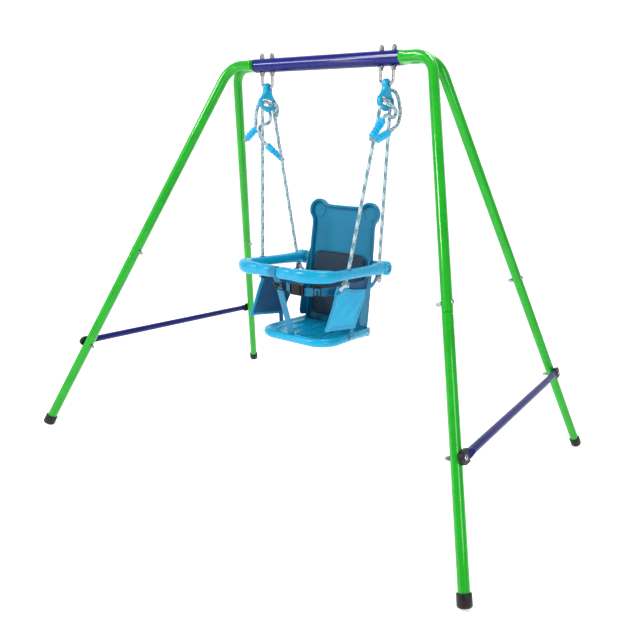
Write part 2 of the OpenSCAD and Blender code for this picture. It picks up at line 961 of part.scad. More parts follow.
module waist_belt() {
    r = 92;
    color(cyan)
    translate([0, seat_y, belt_z]) {
        difference() {
            translate([0, 8, 0])
                rotate([0, 0, 180])
                    rotate_extrude(angle = 180)
                        translate([r - 1, 0]) square([2, 25]);
            translate([-24, -100, -1]) cube([48, 30, 40]);
        }
        for (s = [-1, 1])
            translate([s * r - 1, 7.9, 0])
                cube([2, 129, 25]);
        for (s = [-1, 1])
            translate([s * r - 6, 136.6, 0])
                cube([12, 3, 25]);
    }
}

// centre buckle of the waist belt, two halves closed
module belt_buckle() {
    color(black)
    translate([0, seat_y + 8 - 90, belt_z + 12.5])
        difference() {
            union() {
                rotate([90, 0, 0])
                    translate([0, 0, -5])
                        linear_extrude(height = 11)
                            round_rect(52, 34, 8);
            }
            for (s = [-1, 1])
                translate([s * 19 - 5, -30, -13.5]) cube([4, 60, 27]);
        }
}

module belt_slider() {
    color(black)
    translate([0, seat_y + 8, belt_z + 12.5])
        rotate([0, 0, 40])
            translate([0, -92, 0])
                difference() {
                    translate([-12, -3.4, -17]) cube([24, 6.8, 34]);
                    for (x = [-9, 2.5])
                        translate([x, -6, -13]) cube([6.5, 12, 26]);
                    translate([-20, -2.4, -13.2]) cube([40, 4.8, 26.4]);
                }
}

// ---------- assembly ----------

top_bar();
mirror_to(1, -1) upper_leg();  // leg_upper_rf
mirror_to(1, 1) upper_leg();  // leg_upper_rr
mirror_to(-1, -1) upper_leg();  // leg_upper_lf
mirror_to(-1, 1) upper_leg();  // leg_upper_lr
mirror_to(1, -1) lower_leg();  // leg_lower_rf
mirror_to(1, 1) lower_leg();  // leg_lower_rr
mirror_to(-1, -1) lower_leg();  // leg_lower_lf
mirror_to(-1, 1) lower_leg();  // leg_lower_lr
mirror_to(1, -1) foot_cap();  // foot_cap_rf
mirror_to(1, 1) foot_cap();  // foot_cap_rr
mirror_to(-1, -1) foot_cap();  // foot_cap_lf
mirror_to(-1, 1) foot_cap();  // foot_cap_lr
leg_bolts();
leg_nuts();
mirror_to(1, -1) brace();  // brace_right
mirror_to(-1, -1) brace();  // brace_left
brace_caps();
brace_bolts();
brace_nuts();
mirror_to(1, -1) ubolt();  // ubolt_right
mirror_to(-1, -1) ubolt();  // ubolt_left
ubolt_lower_nuts();
ubolt_cap_nuts();
ubolt_washers();
mirror_to(1, -1) hanger();  // hanger_right
mirror_to(-1, -1) hanger();  // hanger_left
mirror_to(1, -1) rope();  // rope_rf
mirror_to(1, 1) rope();  // rope_rr
mirror_to(-1, -1) rope();  // rope_lf
mirror_to(-1, 1) rope();  // rope_lr
rope_tail(tail_rf);  // rope_tail_rf
rope_tail(tail_rr);  // rope_tail_rr
rope_tail(tail_lf);  // rope_tail_lf
rope_tail(tail_lr);  // rope_tail_lr
ribbed_end_rf();
ribbed_end_rr();
ribbed_end_lf();
ribbed_end_lr();
rope_knots();
guard_ring();
guard_bolts();
guard_nuts();
backrest();
back_pad();
seat_pan();
pan_bolts();
pan_nuts();
mirror_to(1, -1) side_panel();  // side_panel_right
mirror_to(-1, -1) side_panel();  // side_panel_left
crotch_strap();
strap_slider();
waist_belt();
belt_buckle();
belt_slider();
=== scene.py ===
import math

import bmesh
import bpy
from mathutils import Matrix, Vector


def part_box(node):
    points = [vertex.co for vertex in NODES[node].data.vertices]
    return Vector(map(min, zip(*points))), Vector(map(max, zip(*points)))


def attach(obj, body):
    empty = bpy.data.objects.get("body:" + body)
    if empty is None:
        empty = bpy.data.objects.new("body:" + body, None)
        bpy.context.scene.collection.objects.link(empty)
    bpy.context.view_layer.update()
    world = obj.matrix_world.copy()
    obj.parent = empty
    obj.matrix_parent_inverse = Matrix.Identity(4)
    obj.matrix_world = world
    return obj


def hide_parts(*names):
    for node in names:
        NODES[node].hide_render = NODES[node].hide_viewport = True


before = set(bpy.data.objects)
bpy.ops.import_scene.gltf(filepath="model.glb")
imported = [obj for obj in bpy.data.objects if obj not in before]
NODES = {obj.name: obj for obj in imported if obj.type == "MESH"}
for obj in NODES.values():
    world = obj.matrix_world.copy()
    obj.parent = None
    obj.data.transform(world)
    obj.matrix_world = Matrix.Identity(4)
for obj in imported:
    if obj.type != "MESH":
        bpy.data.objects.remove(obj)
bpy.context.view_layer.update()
V = Vector
TAU = math.tau
scene = bpy.context.scene


# ------------------------ camera
# fitted to the photograph: angles in degrees, place in metres, lens and sensor in mm
HEADING, PITCH, ROLL = 29.41, -17.82, -3.49
CAMERA_AT = (1.107, -1.423, 0.8565)
LENS, SENSOR = 31.5, 36.0
SHIFT_X, SHIFT_Y = -0.1225, 0.0663


def make_camera():
    az, pitch, roll = math.radians(HEADING), math.radians(PITCH), math.radians(ROLL)
    level_right = V((math.cos(az), math.sin(az), 0))
    forward = V((-math.sin(az) * math.cos(pitch), math.cos(az) * math.cos(pitch),
                 math.sin(pitch)))
    level_up = level_right.cross(forward)
    right = level_right * math.cos(roll) - level_up * math.sin(roll)
    up = right.cross(forward)
    m = Matrix((right, up, -forward)).transposed().to_4x4()
    m.translation = V(CAMERA_AT)
    data = bpy.data.cameras.new("camera")
    data.lens, data.sensor_width = LENS, SENSOR
    data.shift_x, data.shift_y = SHIFT_X, SHIFT_Y
    data.clip_end = 60
    cam = bpy.data.objects.new("camera", data)
    scene.collection.objects.link(cam)
    cam.matrix_world = m
    scene.camera = cam


make_camera()
scene.view_settings.view_transform = "Standard"


# ------------------------ materials
def lin(r, g, b):
    """A colour given as 0 to 255 sRGB, as linear RGBA."""
    def f(c):
        c /= 255.0
        return c / 12.92 if c <= 0.04045 else ((c + 0.055) / 1.055) ** 2.4

    return (f(r), f(g), f(b), 1.0)


def add(nt, kind, **props):
    n = nt.nodes.new(kind)
    for k, v in props.items():
        setattr(n, k, v)
    return n


def noise(nt, vec, scale, detail=3.0, rough=0.5):
    n = add(nt, "ShaderNodeTexNoise")
    n.inputs["Scale"].default_value = scale
    n.inputs["Detail"].default_value = detail
    n.inputs["Roughness"].default_value = rough
    nt.links.new(vec, n.inputs["Vector"])
    return n.outputs["Fac"]


def ramp(nt, fac, lo, hi, a, b):
    """Maps lo..hi to a..b."""
    n = add(nt, "ShaderNodeMapRange")
    n.inputs["From Min"].default_value = lo
    n.inputs["From Max"].default_value = hi
    n.inputs["To Min"].default_value = a
    n.inputs["To Max"].default_value = b
    nt.links.new(fac, n.inputs["Value"])
    return n.outputs["Result"]


def mix(nt, fac, a, b):
    n = add(nt, "ShaderNodeMix", data_type="RGBA")
    nt.links.new(fac, n.inputs[0])
    for sock, v in ((n.inputs[6], a), (n.inputs[7], b)):
        if isinstance(v, tuple):
            sock.default_value = v
        else:
            nt.links.new(v, sock)
    return n.outputs[2]


def maths(nt, op, a, b=None):
    n = add(nt, "ShaderNodeMath", operation=op)
    for i, v in enumerate((a, b)):
        if v is None:
            continue
        if isinstance(v, (int, float)):
            n.inputs[i].default_value = v
        else:
            nt.links.new(v, n.inputs[i])
    return n.outputs[0]


def bump(nt, bsdf, height, strength, distance):
    n = add(nt, "ShaderNodeBump")
    n.inputs["Strength"].default_value = strength
    n.inputs["Distance"].default_value = distance
    nt.links.new(height, n.inputs["Height"])
    nt.links.new(n.outputs[0], bsdf.inputs["Normal"])


def new_material(name, **consts):
    """A node material; consts are values set on the shader's own sockets."""
    m = bpy.data.materials.new(name)
    m.use_nodes = True
    nt = m.node_tree
    b = nt.nodes["Principled BSDF"]
    for k, v in consts.items():
        b.inputs[k.replace("_", " ")].default_value = v
    tc = add(nt, "ShaderNodeTexCoord")
    return m, nt, b, tc


def solid_surface(name, c1, c2, patch, rough, fine, strength, dist, **consts):
    """Colour drifts between c1 and c2 and roughness within rough, in patches of that noise
    scale; a bump of the noise scale fine, of that strength and distance, roughens it."""
    m, nt, b, tc = new_material(name, **consts)
    vec = tc.outputs["Object"]
    drift = noise(nt, vec, patch, 4.0)
    nt.links.new(mix(nt, ramp(nt, drift, 0.35, 0.65, 0, 1), c1, c2), b.inputs["Base Color"])
    wear = noise(nt, vec, patch * 4, 5.0, 0.6)
    nt.links.new(ramp(nt, wear, 0.3, 0.7, rough[0], rough[1]), b.inputs["Roughness"])
    bump(nt, b, noise(nt, vec, fine, 2.0), strength, dist)
    return m


GREEN = solid_surface(
    "green_powder_coat", lin(10, 150, 20), lin(18, 162, 26), 14, (0.24, 0.34), 500, 0.04,
    0.0002, Coat_Weight=0.55, Coat_Roughness=0.06, Specular_IOR_Level=0.15)
BLUE = solid_surface(
    "blue_powder_coat", lin(2, 8, 84), lin(5, 14, 96), 12, (0.24, 0.34), 500, 0.04,
    0.0002, Coat_Weight=0.4, Coat_Roughness=0.08, Specular_IOR_Level=0.1)
NAVY = solid_surface(
    "navy_powder_coat", lin(10, 16, 92), lin(16, 23, 104), 14, (0.30, 0.40), 500, 0.05,
    0.0002, Coat_Weight=0.12, Coat_Roughness=0.1, Specular_IOR_Level=0.2)
CYAN = solid_surface(
    "cyan_moulded_plastic", lin(0, 148, 192), lin(4, 158, 200), 9, (0.24, 0.34), 900, 0.05,
    0.0003, Subsurface_Weight=0.06, Subsurface_Scale=0.004, Specular_IOR_Level=0.35)
# a darker copy of the cyan plastic: painted shade for the backrest, which stands in shade, and
# for its wings, ribs, ears, bosses and the rope bushes
CYAN_PAINTED_SHADE = solid_surface(
    "cyan_plastic_painted_shade", lin(0, 108, 144), lin(0, 118, 154), 9, (0.34, 0.46), 900, 0.06,
    0.0003, Subsurface_Weight=0.05, Subsurface_Scale=0.004, Specular_IOR_Level=0.3)
CYAN_LIGHT = solid_surface(
    "light_cyan_plastic", lin(20, 172, 222), lin(36, 182, 230), 9, (0.28, 0.40), 900, 0.05,
    0.0003, Specular_IOR_Level=0.35)
BLACK = solid_surface(
    "black_plastic", lin(8, 8, 10), lin(16, 16, 19), 30, (0.38, 0.52), 1500, 0.25, 0.0003,
    Specular_IOR_Level=0.3)
ZINC = solid_surface(
    "zinc_plate", lin(148, 149, 154), lin(180, 180, 184), 90, (0.18, 0.32), 2200, 0.10,
    0.0002, Metallic=1.0)
STEEL = solid_surface(
    "dull_steel", lin(132, 134, 139), lin(166, 167, 172), 120, (0.20, 0.38), 2200, 0.12,
    0.0002, Metallic=1.0)


def weave_height(nt, u, v, pitch):
    """Plain weave: warp and weft threads that pass over and under."""
    k = math.pi / pitch
    a = maths(nt, "SINE", maths(nt, "MULTIPLY", u, k))
    b = maths(nt, "SINE", maths(nt, "MULTIPLY", v, k))
    return maths(nt, "MULTIPLY", a, b)


def split(nt, vec):
    sep = add(nt, "ShaderNodeSeparateXYZ")
    nt.links.new(vec, sep.inputs[0])
    return sep.outputs


def thread_colour_with_valley_shade(nt, b, drift, height, c1, c2, valley_shade_factor, full):
    """Colour drifts between c1 and c2. Below the height full it darkens to a given fraction of
    c1: painted shade in the low places of the weave, between threads.
    """
    tone = mix(nt, ramp(nt, drift, 0.3, 0.7, 0, 1), c1, c2)
    painted_valley_shade = tuple(valley_shade_factor * c for c in c1[:3]) + (1.0,)
    nt.links.new(mix(nt, ramp(nt, height, -1.0, full, 0.0, 1.0), painted_valley_shade, tone),
                 b.inputs["Base Color"])


def fabric(name, c1, c2, pitch, axes=None, strength=0.5, valley_shade_factor=0.8, **consts):
    """Woven cloth. Threads follow the UV map, or two object axes where there is none."""
    m, nt, b, tc = new_material(name, **consts)
    uv = split(nt, tc.outputs["Object" if axes else "UV"])
    u, v = (uv[i] for i in (axes or (0, 1)))
    h = weave_height(nt, u, v, pitch)
    drift = noise(nt, tc.outputs["Object"], 22, 4.0)
    # the weave's low places are darkened: painted shade between the threads
    thread_colour_with_valley_shade(nt, b, drift, h, c1, c2, valley_shade_factor, 0.6)
    worn = noise(nt, tc.outputs["Object"], 160, 3.0)
    nt.links.new(ramp(nt, worn, 0.3, 0.7, 0.66, 0.84), b.inputs["Roughness"])
    bump(nt, b, h, strength, 0.0006)
    return m


PANEL = fabric("cyan_nylon_cloth", lin(0, 172, 224), lin(10, 186, 236), 0.0011,
               Sheen_Weight=0.08, Sheen_Roughness=0.5)
TAPE = fabric("navy_binding_tape", lin(8, 46, 70), lin(12, 56, 82), 0.0009, Sheen_Weight=0.1)
HEM = fabric("cyan_hem", lin(0, 160, 210), lin(8, 174, 222), 0.0009, Sheen_Weight=0.08)
# the mesh's weave valleys are painted darker still, as shade
PAD = fabric("navy_lining_mesh", lin(6, 42, 64), lin(10, 52, 76), 0.0016, axes=(0, 2),
             strength=0.6, valley_shade_factor=0.62, Sheen_Weight=0.1)
# dark teal cloth for the sheets inside the side panels: painted shade for their shaded inside
PANEL_SHADE_CLOTH = fabric("teal_painted_shade_cloth", lin(0, 76, 118), lin(0, 92, 138), 0.0012,
                Sheen_Weight=0.06)


def webbing_material(name, c1, c2):
    """Webbing: a coarse, even weave along and across the strap."""
    m, nt, b, tc = new_material(name, Sheen_Weight=0.08)
    uv = split(nt, tc.outputs["UV"])
    h = weave_height(nt, uv[0], uv[1], 0.0016)
    drift = noise(nt, tc.outputs["Object"], 30, 3.0)
    # the low places of the weave are darkened: painted shade between the threads
    thread_colour_with_valley_shade(nt, b, drift, h, c1, c2, 0.68, 0.5)
    b.inputs["Roughness"].default_value = 0.72
    bump(nt, b, h, 0.6, 0.0006)
    return m


WEB = webbing_material("blue_webbing", lin(0, 120, 162), lin(4, 136, 180))
THREAD = solid_surface("pale_thread", lin(150, 200, 220), lin(170, 212, 228), 200,
                       (0.5, 0.7), 3000, 0.3, 0.0002)


def yarn(name, c1, c2):
    """One strand of the braid: fine twisted fibres along the strand."""
    m, nt, b, tc = new_material(name, Sheen_Weight=0.3, Sheen_Roughness=0.5)
    uv = split(nt, tc.outputs["UV"])
    slant = maths(nt, "ADD", maths(nt, "MULTIPLY", uv[0], 2600.0),
                  maths(nt, "MULTIPLY", uv[1], 1500.0))
    h = maths(nt, "SINE", slant)
    drift = noise(nt, tc.outputs["Object"], 60, 4.0)
    # the grooves of the twist are darkened: painted shade between the fibres
    thread_colour_with_valley_shade(nt, b, drift, h, c1, c2, 0.7, 0.4)
    b.inputs["Roughness"].default_value = 0.75
    bump(nt, b, h, 0.5, 0.0003)
    return m


YARN_WHITE = yarn("white_yarn", lin(194, 206, 214), lin(216, 226, 232))
YARN_GREY = yarn("grey_yarn", lin(112, 138, 152), lin(138, 160, 172))
YARN_TEAL = yarn("teal_yarn", lin(78, 150, 170), lin(104, 170, 188))
YARNS = [YARN_WHITE, YARN_GREY, YARN_TEAL]
WHITE, GREY, TEAL = 0, 1, 2  # their places in YARNS


# ------------------------ mesh helpers
def unit(v):
    return v.normalized()


def put_in_scene(name, me, body):
    """The mesh as an object; body is None where it is joined, or rides later."""
    o = bpy.data.objects.new(name, me)
    scene.collection.objects.link(o)
    if body:
        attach(o, body)
    return o


def all_smooth(me):
    for p in me.polygons:
        p.use_smooth = True


def mesh_piece(name, verts, faces, mats, body, uvs=None, face_mats=None):
    me = bpy.data.meshes.new(name)
    me.from_pydata([tuple(v) for v in verts], [], faces)
    for m in mats if isinstance(mats, (list, tuple)) else [mats]:
        me.materials.append(m)
    if uvs:
        layer = me.uv_layers.new(name="UVMap")
        for corner, uv in zip(layer.data, uvs):
            corner.uv = uv
    if face_mats:
        for p, k in zip(me.polygons, face_mats):
            p.material_index = k
    all_smooth(me)
    me.validate()
    return put_in_scene(name, me, body)


def spline(points, spacing):
    """Smooth curve through the points, sampled evenly."""
    p = [V(q) for q in points]
    p = [p[0] * 2 - p[1]] + p + [p[-1] * 2 - p[-2]]
    dense = []
    for i in range(1, len(p) - 2):
        a, b, c, d = p[i - 1], p[i], p[i + 1], p[i + 2]
        for k in range(24):
            t = k / 24
            dense.append(0.5 * (2 * b + (c - a) * t + (2 * a - 5 * b + 4 * c - d) * t * t
                                + (3 * b - 3 * c + d - a) * t ** 3))
    dense.append(p[-2])
    return even(dense, spacing)


def runs(pts):
    """Distance along the points, from the first to each."""
    run = [0.0]
    for a, b in zip(pts, pts[1:]):
        run.append(run[-1] + (b - a).length)
    return run


def even(dense, spacing):
    """The same line, with its points evenly spaced."""
    run = runs(dense)
    n = max(2, round(run[-1] / spacing))
    out, j = [], 0
    for i in range(n + 1):
        s = run[-1] * i / n
        while j < len(run) - 2 and run[j + 1] < s:
            j += 1
        t = (s - run[j]) / max(1e-12, run[j + 1] - run[j])
        out.append(dense[j].lerp(dense[j + 1], min(1, t)))
    return out


SLANT = (0.1, 0.2, 0.97)  # a first normal for lines that run in no particular direction


def frames(pts, hint=SLANT):
    """Direction, normal and binormal at each point, turning as little as possible."""
    n, out = V(hint), []
    for i in range(len(pts)):
        d = unit(pts[min(len(pts) - 1, i + 1)] - pts[max(0, i - 1)])
        n = unit(n - d * n.dot(d))
        out.append((d, n, d.cross(n)))
    return out


def tube_faces(rings, k, base=0, closed=False):
    """Quads between rings of k points. A tube that doesn't close on itself gets two ends."""
    faces = []
    for i in range(rings if closed else rings - 1):
        a, b = base + i * k, base + (i + 1) % rings * k
        for j in range(k):
            j2 = (j + 1) % k
            faces.append((a + j, a + j2, b + j2, b + j))
    if not closed:
        end = base + (rings - 1) * k
        faces.append(tuple(range(base + k - 1, base - 1, -1)))
        faces.append(tuple(range(end, end + k)))
    return faces


def tube_uvs(run, per):
    """UVs in metres for tube_faces: per goes round the tube, run along it."""
    uvs = []
    for r0, r1 in zip(run, run[1:]):
        for p0, p1 in zip(per, per[1:]):
            uvs += [(p0, r0), (p1, r0), (p1, r1), (p0, r1)]
    return uvs + [(0, 0)] * (2 * (len(per) - 1))


def sweep_data(pts, section, hint=SLANT):
    """section(i) gives 2-D points in the (normal, binormal) plane of ring i."""
    middle = section(len(pts) // 2)
    per = [0.0]
    for a, b in zip(middle, middle[1:] + middle[:1]):
        per.append(per[-1] + math.hypot(b[0] - a[0], b[1] - a[1]))
    verts = [p + n * x + b * y for i, (p, (_, n, b)) in enumerate(zip(pts, frames(pts, hint)))
             for x, y in section(i)]
    return verts, tube_faces(len(pts), len(middle)), tube_uvs(runs(pts), per)


def sweep(name, pts, section, mat, body, hint=SLANT):
    v, f, u = sweep_data(pts, section if callable(section) else (lambda i: section), hint)
    return mesh_piece(name, v, f, mat, body, u)


def ring_pts(rx, ry, n, power=2.0):
    """A closed 2-D loop: an ellipse at power 2, squarer above it."""
    out = []
    for i in range(n):
        a = TAU * i / n
        c, s = math.cos(a), math.sin(a)
        out.append((rx * math.copysign(abs(c) ** (2 / power), c),
                    ry * math.copysign(abs(s) ** (2 / power), s)))
    return out


def strap_section(w, t):
    """Flat webbing with rounded edges; w runs along the first axis."""
    h, q = w / 2, t / 2
    return [(-h + q, -q), (-h * 0.5, -q), (0, -q), (h * 0.5, -q), (h - q, -q), (h, 0),
            (h - q, q), (h * 0.5, q), (0, q), (-h * 0.5, q), (-h + q, q), (-h, 0)]


def upright_strap(w, t):
    """The same webbing with w along the second axis, for one that faces its hint."""
    return [(y, x) for x, y in strap_section(w, t)]


def lathe(name, profile, origin, axis, mat, body, seg=40):
    """profile: (distance along axis, radius)."""
    d = unit(V(axis))
    n = unit(d.orthogonal())
    b = d.cross(n)
    o = V(origin)
    verts = []
    for h, r in profile:
        for k in range(seg):
            a = TAU * k / seg
            verts.append(o + d * h + (n * math.cos(a) + b * math.sin(a)) * r)
    return mesh_piece(name, verts, tube_faces(len(profile), seg), mat, body)


def plate(name, loops, thick, edge, matrix, mat, body):
    """Flat plate from closed 2-D loops (outer first, then holes) with rolled edges."""
    cu = bpy.data.curves.new(name, "CURVE")
    cu.dimensions, cu.fill_mode = "2D", "BOTH"
    cu.extrude = thick / 2 - edge
    cu.bevel_depth, cu.bevel_resolution, cu.offset = edge, 3, -edge
    for lp in loops:
        s = cu.splines.new("POLY")
        s.points.add(len(lp) - 1)
        for p, q in zip(s.points, lp):
            p.co = (q[0], q[1], 0, 1)
        s.use_cyclic_u = True
    tmp = bpy.data.objects.new(name + "_tmp", cu)
    scene.collection.objects.link(tmp)
    bpy.context.view_layer.update()
    dg = bpy.context.evaluated_depsgraph_get()
    me = bpy.data.meshes.new_from_object(tmp.evaluated_get(dg))
    bpy.data.objects.remove(tmp)
    me.transform(matrix)
    me.materials.clear()
    me.materials.append(mat)
    all_smooth(me)
    me.name = name
    o = put_in_scene(name, me, body)
    sharpen(o, 40)
    return o


def sharpen(o, angle):
    """Smooth shading, with edges sharper than the angle kept crisp."""
    bm = bmesh.new()
    bm.from_mesh(o.data)
    lim = math.radians(angle)
    for e in bm.edges:
        if len(e.link_faces) == 2:
            e.smooth = e.calc_face_angle(0) < lim
    bm.to_mesh(o.data)
    bm.free()


def rounded(node, width, mat, body, angle=35):
    """A CAD node's shape with its edges rolled over."""
    src = NODES[node]
    me = src.data.copy()
    bm = bmesh.new()
    bm.from_mesh(me)
    bmesh.ops.remove_doubles(bm, verts=bm.verts, dist=1e-5)
    bmesh.ops.dissolve_limit(bm, angle_limit=math.radians(0.6), verts=bm.verts,
                             edges=bm.edges)
    bm.to_mesh(me)
    bm.free()
    me.name = node + "_body"
    me.materials.clear()
    me.materials.append(mat)
    all_smooth(me)
    o = put_in_scene(node + "_body", me, body)
    mod = o.modifiers.new("edges", "BEVEL")
    mod.width, mod.segments = width, 3
    mod.limit_method, mod.angle_limit = "ANGLE", math.radians(angle)
    mod.harden_normals = True
    mod.use_clamp_overlap = True
    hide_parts(node)
    return o


def circle(cx, cy, r, n):
    return [(cx + r * math.cos(TAU * k / n), cy + r * math.sin(TAU * k / n))
            for k in range(n)]


def chaikin(pts):
    """Rounds a closed loop's corners by cutting them twice."""
    for _ in range(2):
        pts = [tuple(t * p + (1 - t) * q for p, q in zip(a, b))
               for a, b in zip(pts, pts[1:] + pts[:1]) for t in (0.75, 0.25)]
    return pts


def slot_loop(cx, cy, w, h, r=0.002):
    """A rectangle w by h with corners of radius r."""
    pts = []
    for sx, sy, a0 in ((1, 1, 0), (-1, 1, 90), (-1, -1, 180), (1, -1, 270)):
        for k in range(4):
            a = math.radians(a0 + 30 * k)
            pts.append((cx + sx * (w / 2 - r) + r * math.cos(a),
                        cy + sy * (h / 2 - r) + r * math.sin(a)))
    return pts


def rim(name, loop, inset, a, b, depth, matrix, mat):
    """Rolled rim along a closed outline: a across the plate, b through it."""
    n = len(loop)
    verts = []
    k = 12
    for i in range(n):
        p, q = V(loop[i - 1]), V(loop[(i + 1) % n])
        t = unit(q - p)
        nrm = V((t[1], -t[0]))
        c = V(loop[i]) + nrm * (inset if clockwise(loop) else -inset)
        for j in range(k):
            w = TAU * j / k
            e = c + nrm * a * math.cos(w)
            verts.append(matrix @ V((e[0], e[1], depth + b * math.sin(w))))
    return mesh_piece(name, verts, tube_faces(n, k, closed=True), mat, None)


def clockwise(loop):
    area = sum(loop[i - 1][0] * loop[i][1] - loop[i][0] * loop[i - 1][1]
               for i in range(len(loop)))
    return area < 0


def sheet_mesh(name, at, n, m, size, flip, mat):
    """A sheet of n by m cells through at(u, v), with UVs in metres from its size."""
    verts = [at(i / n, j / m) for j in range(m + 1) for i in range(n + 1)]
    faces, uvs = [], []
    for j in range(m):
        for i in range(n):
            a = j * (n + 1) + i
            face = (a, a + 1, a + n + 2, a + n + 1)
            cell = [(i, j), (i + 1, j), (i + 1, j + 1), (i, j + 1)]
            faces.append(face[::-1] if flip else face)
            uvs += [(size[0] * x / n, size[1] * y / m)
                    for x, y in (cell[::-1] if flip else cell)]
    return mesh_piece(name, verts, faces, mat, None, uvs)


def join(name, parts, body):
    """Merges finished pieces into one object."""
    bm = bmesh.new()
    mats = []
    me = bpy.data.meshes.new(name)
    for o in parts:
        base = len(mats)
        mats.extend(o.data.materials)
        part = o.data.copy()
        for p in part.polygons:
            p.material_index += base
        bm.from_mesh(part)
        bpy.data.meshes.remove(part)
    for m in mats:
        me.materials.append(m)
    bm.to_mesh(me)
    bm.free()
    for o in parts:
        bpy.data.objects.remove(o)
    return put_in_scene(name, me, body)


# ------------------------ ropes
ROPE = [WHITE, WHITE, TEAL, TEAL, WHITE, TEAL, GREY, WHITE]
KNOT = [WHITE, WHITE, WHITE, TEAL, WHITE, WHITE, GREY, WHITE]
KNOT_END = [WHITE, WHITE, WHITE, GREY, WHITE, WHITE, WHITE, WHITE]


def braid(name, pts, body, radius=0.0054, colours=ROPE):
    """Round braid: strands wind both ways round a core, passing over and under."""
    pitch, strands, k = 0.040, 4, 6
    wide, thick = radius * 0.40, radius * 0.20
    fr, run = frames(pts), runs(pts)
    per = [j * wide * 0.7 for j in range(k + 1)]
    verts, faces, uvs, face_mats = [], [], [], []
    for s in range(2 * strands):
        turn = 1 if s < strands else -1
        phase = TAU * (s % strands) / strands
        faces += tube_faces(len(pts), k, base=len(verts))
        uvs += tube_uvs(run, per)
        face_mats += [colours[s]] * ((len(pts) - 1) * k) + [WHITE, WHITE]
        for p, gone, (d, n, b) in zip(pts, run, fr):
            lay = TAU * gone / pitch
            a = phase + turn * lay
            r = radius * (0.74 + 0.07 * turn * math.cos(strands * lay))
            out = n * math.cos(a) + b * math.sin(a)
            lat = unit(d.cross(out))
            along = unit(d * pitch + lat * turn * TAU * r)
            side = unit(out.cross(along))
            c = p + out * r
            for j in range(k):
                q = TAU * j / k
                verts.append(c + side * (wide * math.cos(q)) + out * (thick * math.sin(q)))
    core = ring_pts(radius * 0.72, radius * 0.72, 10)
    v, f, u = sweep_data(pts, lambda i: core)
    base = len(verts)
    verts += v
    faces += [tuple(base + q for q in t) for t in f]
    uvs += u
    face_mats += [GREY] * len(f)
    return mesh_piece(name, verts, faces, YARNS, body, uvs, face_mats)


MM = 0.001
STEP = 0.0017  # spacing of the points along a braid
# places that part.scad also has, in metres
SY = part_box("seat_pan")[0][1] + 0.125  # the seat's own zero in Y
RING_X, RING_Z, RING_FRONT, RING_REAR = 0.166, 0.592, 0.180, 0.145
HANG_X, PIVOT_Z = 0.215, 1.107
ROPE_LOW_Y, ROPE_TOP_Y, ROPE_TOP_Z = 0.085, 0.024, 1.058

# the tails' routes in part.scad, in millimetres
TAILS = {
    "rr": [(215, 22, 1064), (207, 23, 1066), (200, 27, 1076), (201, 32, 1090), (211, 35, 1098),
           (223, 37, 1092), (230, 42, 1076), (232, 49, 1056), (232, 52, 1034),
           (231, 45, 1014), (229, 28, 1000), (228, 13, 991), (227, 2, 984)],
    "rf": [(215, -22, 1064), (224, -22, 1064), (231, -17, 1058), (235, -5, 1052),
           (237, 9, 1049), (237, 20, 1042), (236, 20, 1031), (235, 9, 1025), (234, -6, 1026),
           (233, -20, 1027), (232, -31, 1022), (231, -38, 1012)],
    "lf": [(-215, -22, 1064), (-224, -22, 1064), (-231, -26, 1054), (-231, -33, 1036),
           (-229, -38, 1016), (-227, -41, 1000), (-226, -44, 986)],
    "lr": [(-215, 22, 1064), (-224, 22, 1064), (-232, 25, 1054), (-233, 30, 1036),
           (-232, 28, 1018), (-231, 14, 1008), (-230, -4, 1004), (-230, -18, 996),
           (-230, -24, 982), (-229, -20, 966), (-227, -6, 952), (-225, 8, 942)],
}


def rope_line(sx, sy):
    a = V((sx * RING_X, sy * ROPE_LOW_Y, RING_Z))
    b = V((sx * HANG_X, sy * ROPE_TOP_Y, ROPE_TOP_Z))
    return a, b, unit(b - a)


def knot_path(centre, axis, size):
    """A simple overhand knot, pulled tight."""
    d = unit(axis)
    n = unit(d.orthogonal())
    b = d.cross(n)
    pts = []
    for i in range(61):
        t = TAU * i / 60
        x = (math.sin(t) + 2 * math.sin(2 * t)) / 3
        y = (math.cos(t) - 2 * math.cos(2 * t)) / 3
        z = -math.sin(3 * t)
        pts.append(centre + (n * x + b * y) * size + d * z * size * 0.55)
    return even(pts, STEP)


# each grip's start, a point that it runs towards, and its length, in millimetres
GRIPS = {"rf": ((231, -38, 1012), (228, -86, 961), 64),
         "rr": ((227, 2, 984), (224, -58, 960), 58),
         "lf": ((-226, -44, 986), (-224, -86, 953), 50),
         "lr": ((-225, 8, 942), (-219, 76, 904), 68)}


def rope_tip(key):
    """The melted end of the rope, just past its grip."""
    a, b, n = GRIPS[key]
    a, b = V(a) * MM, V(b) * MM
    d = unit(b - a)
    prof = [(-0.001, 0.0040), (0.0015, 0.0047), (0.004, 0.0056), (0.0065, 0.0060),
            (0.009, 0.0054), (0.0105, 0.0036), (0.011, 0.0008)]
    o = lathe("rope_tip_" + key, prof, a + d * (n * MM + 0.0003), d, YARN_GREY, "swing", 20)


def bight(name, pts):
    """A turn of rope in a hanger's window; pts are in millimetres."""
    o = braid(name, spline([V(p) * MM for p in pts], STEP), "swing")


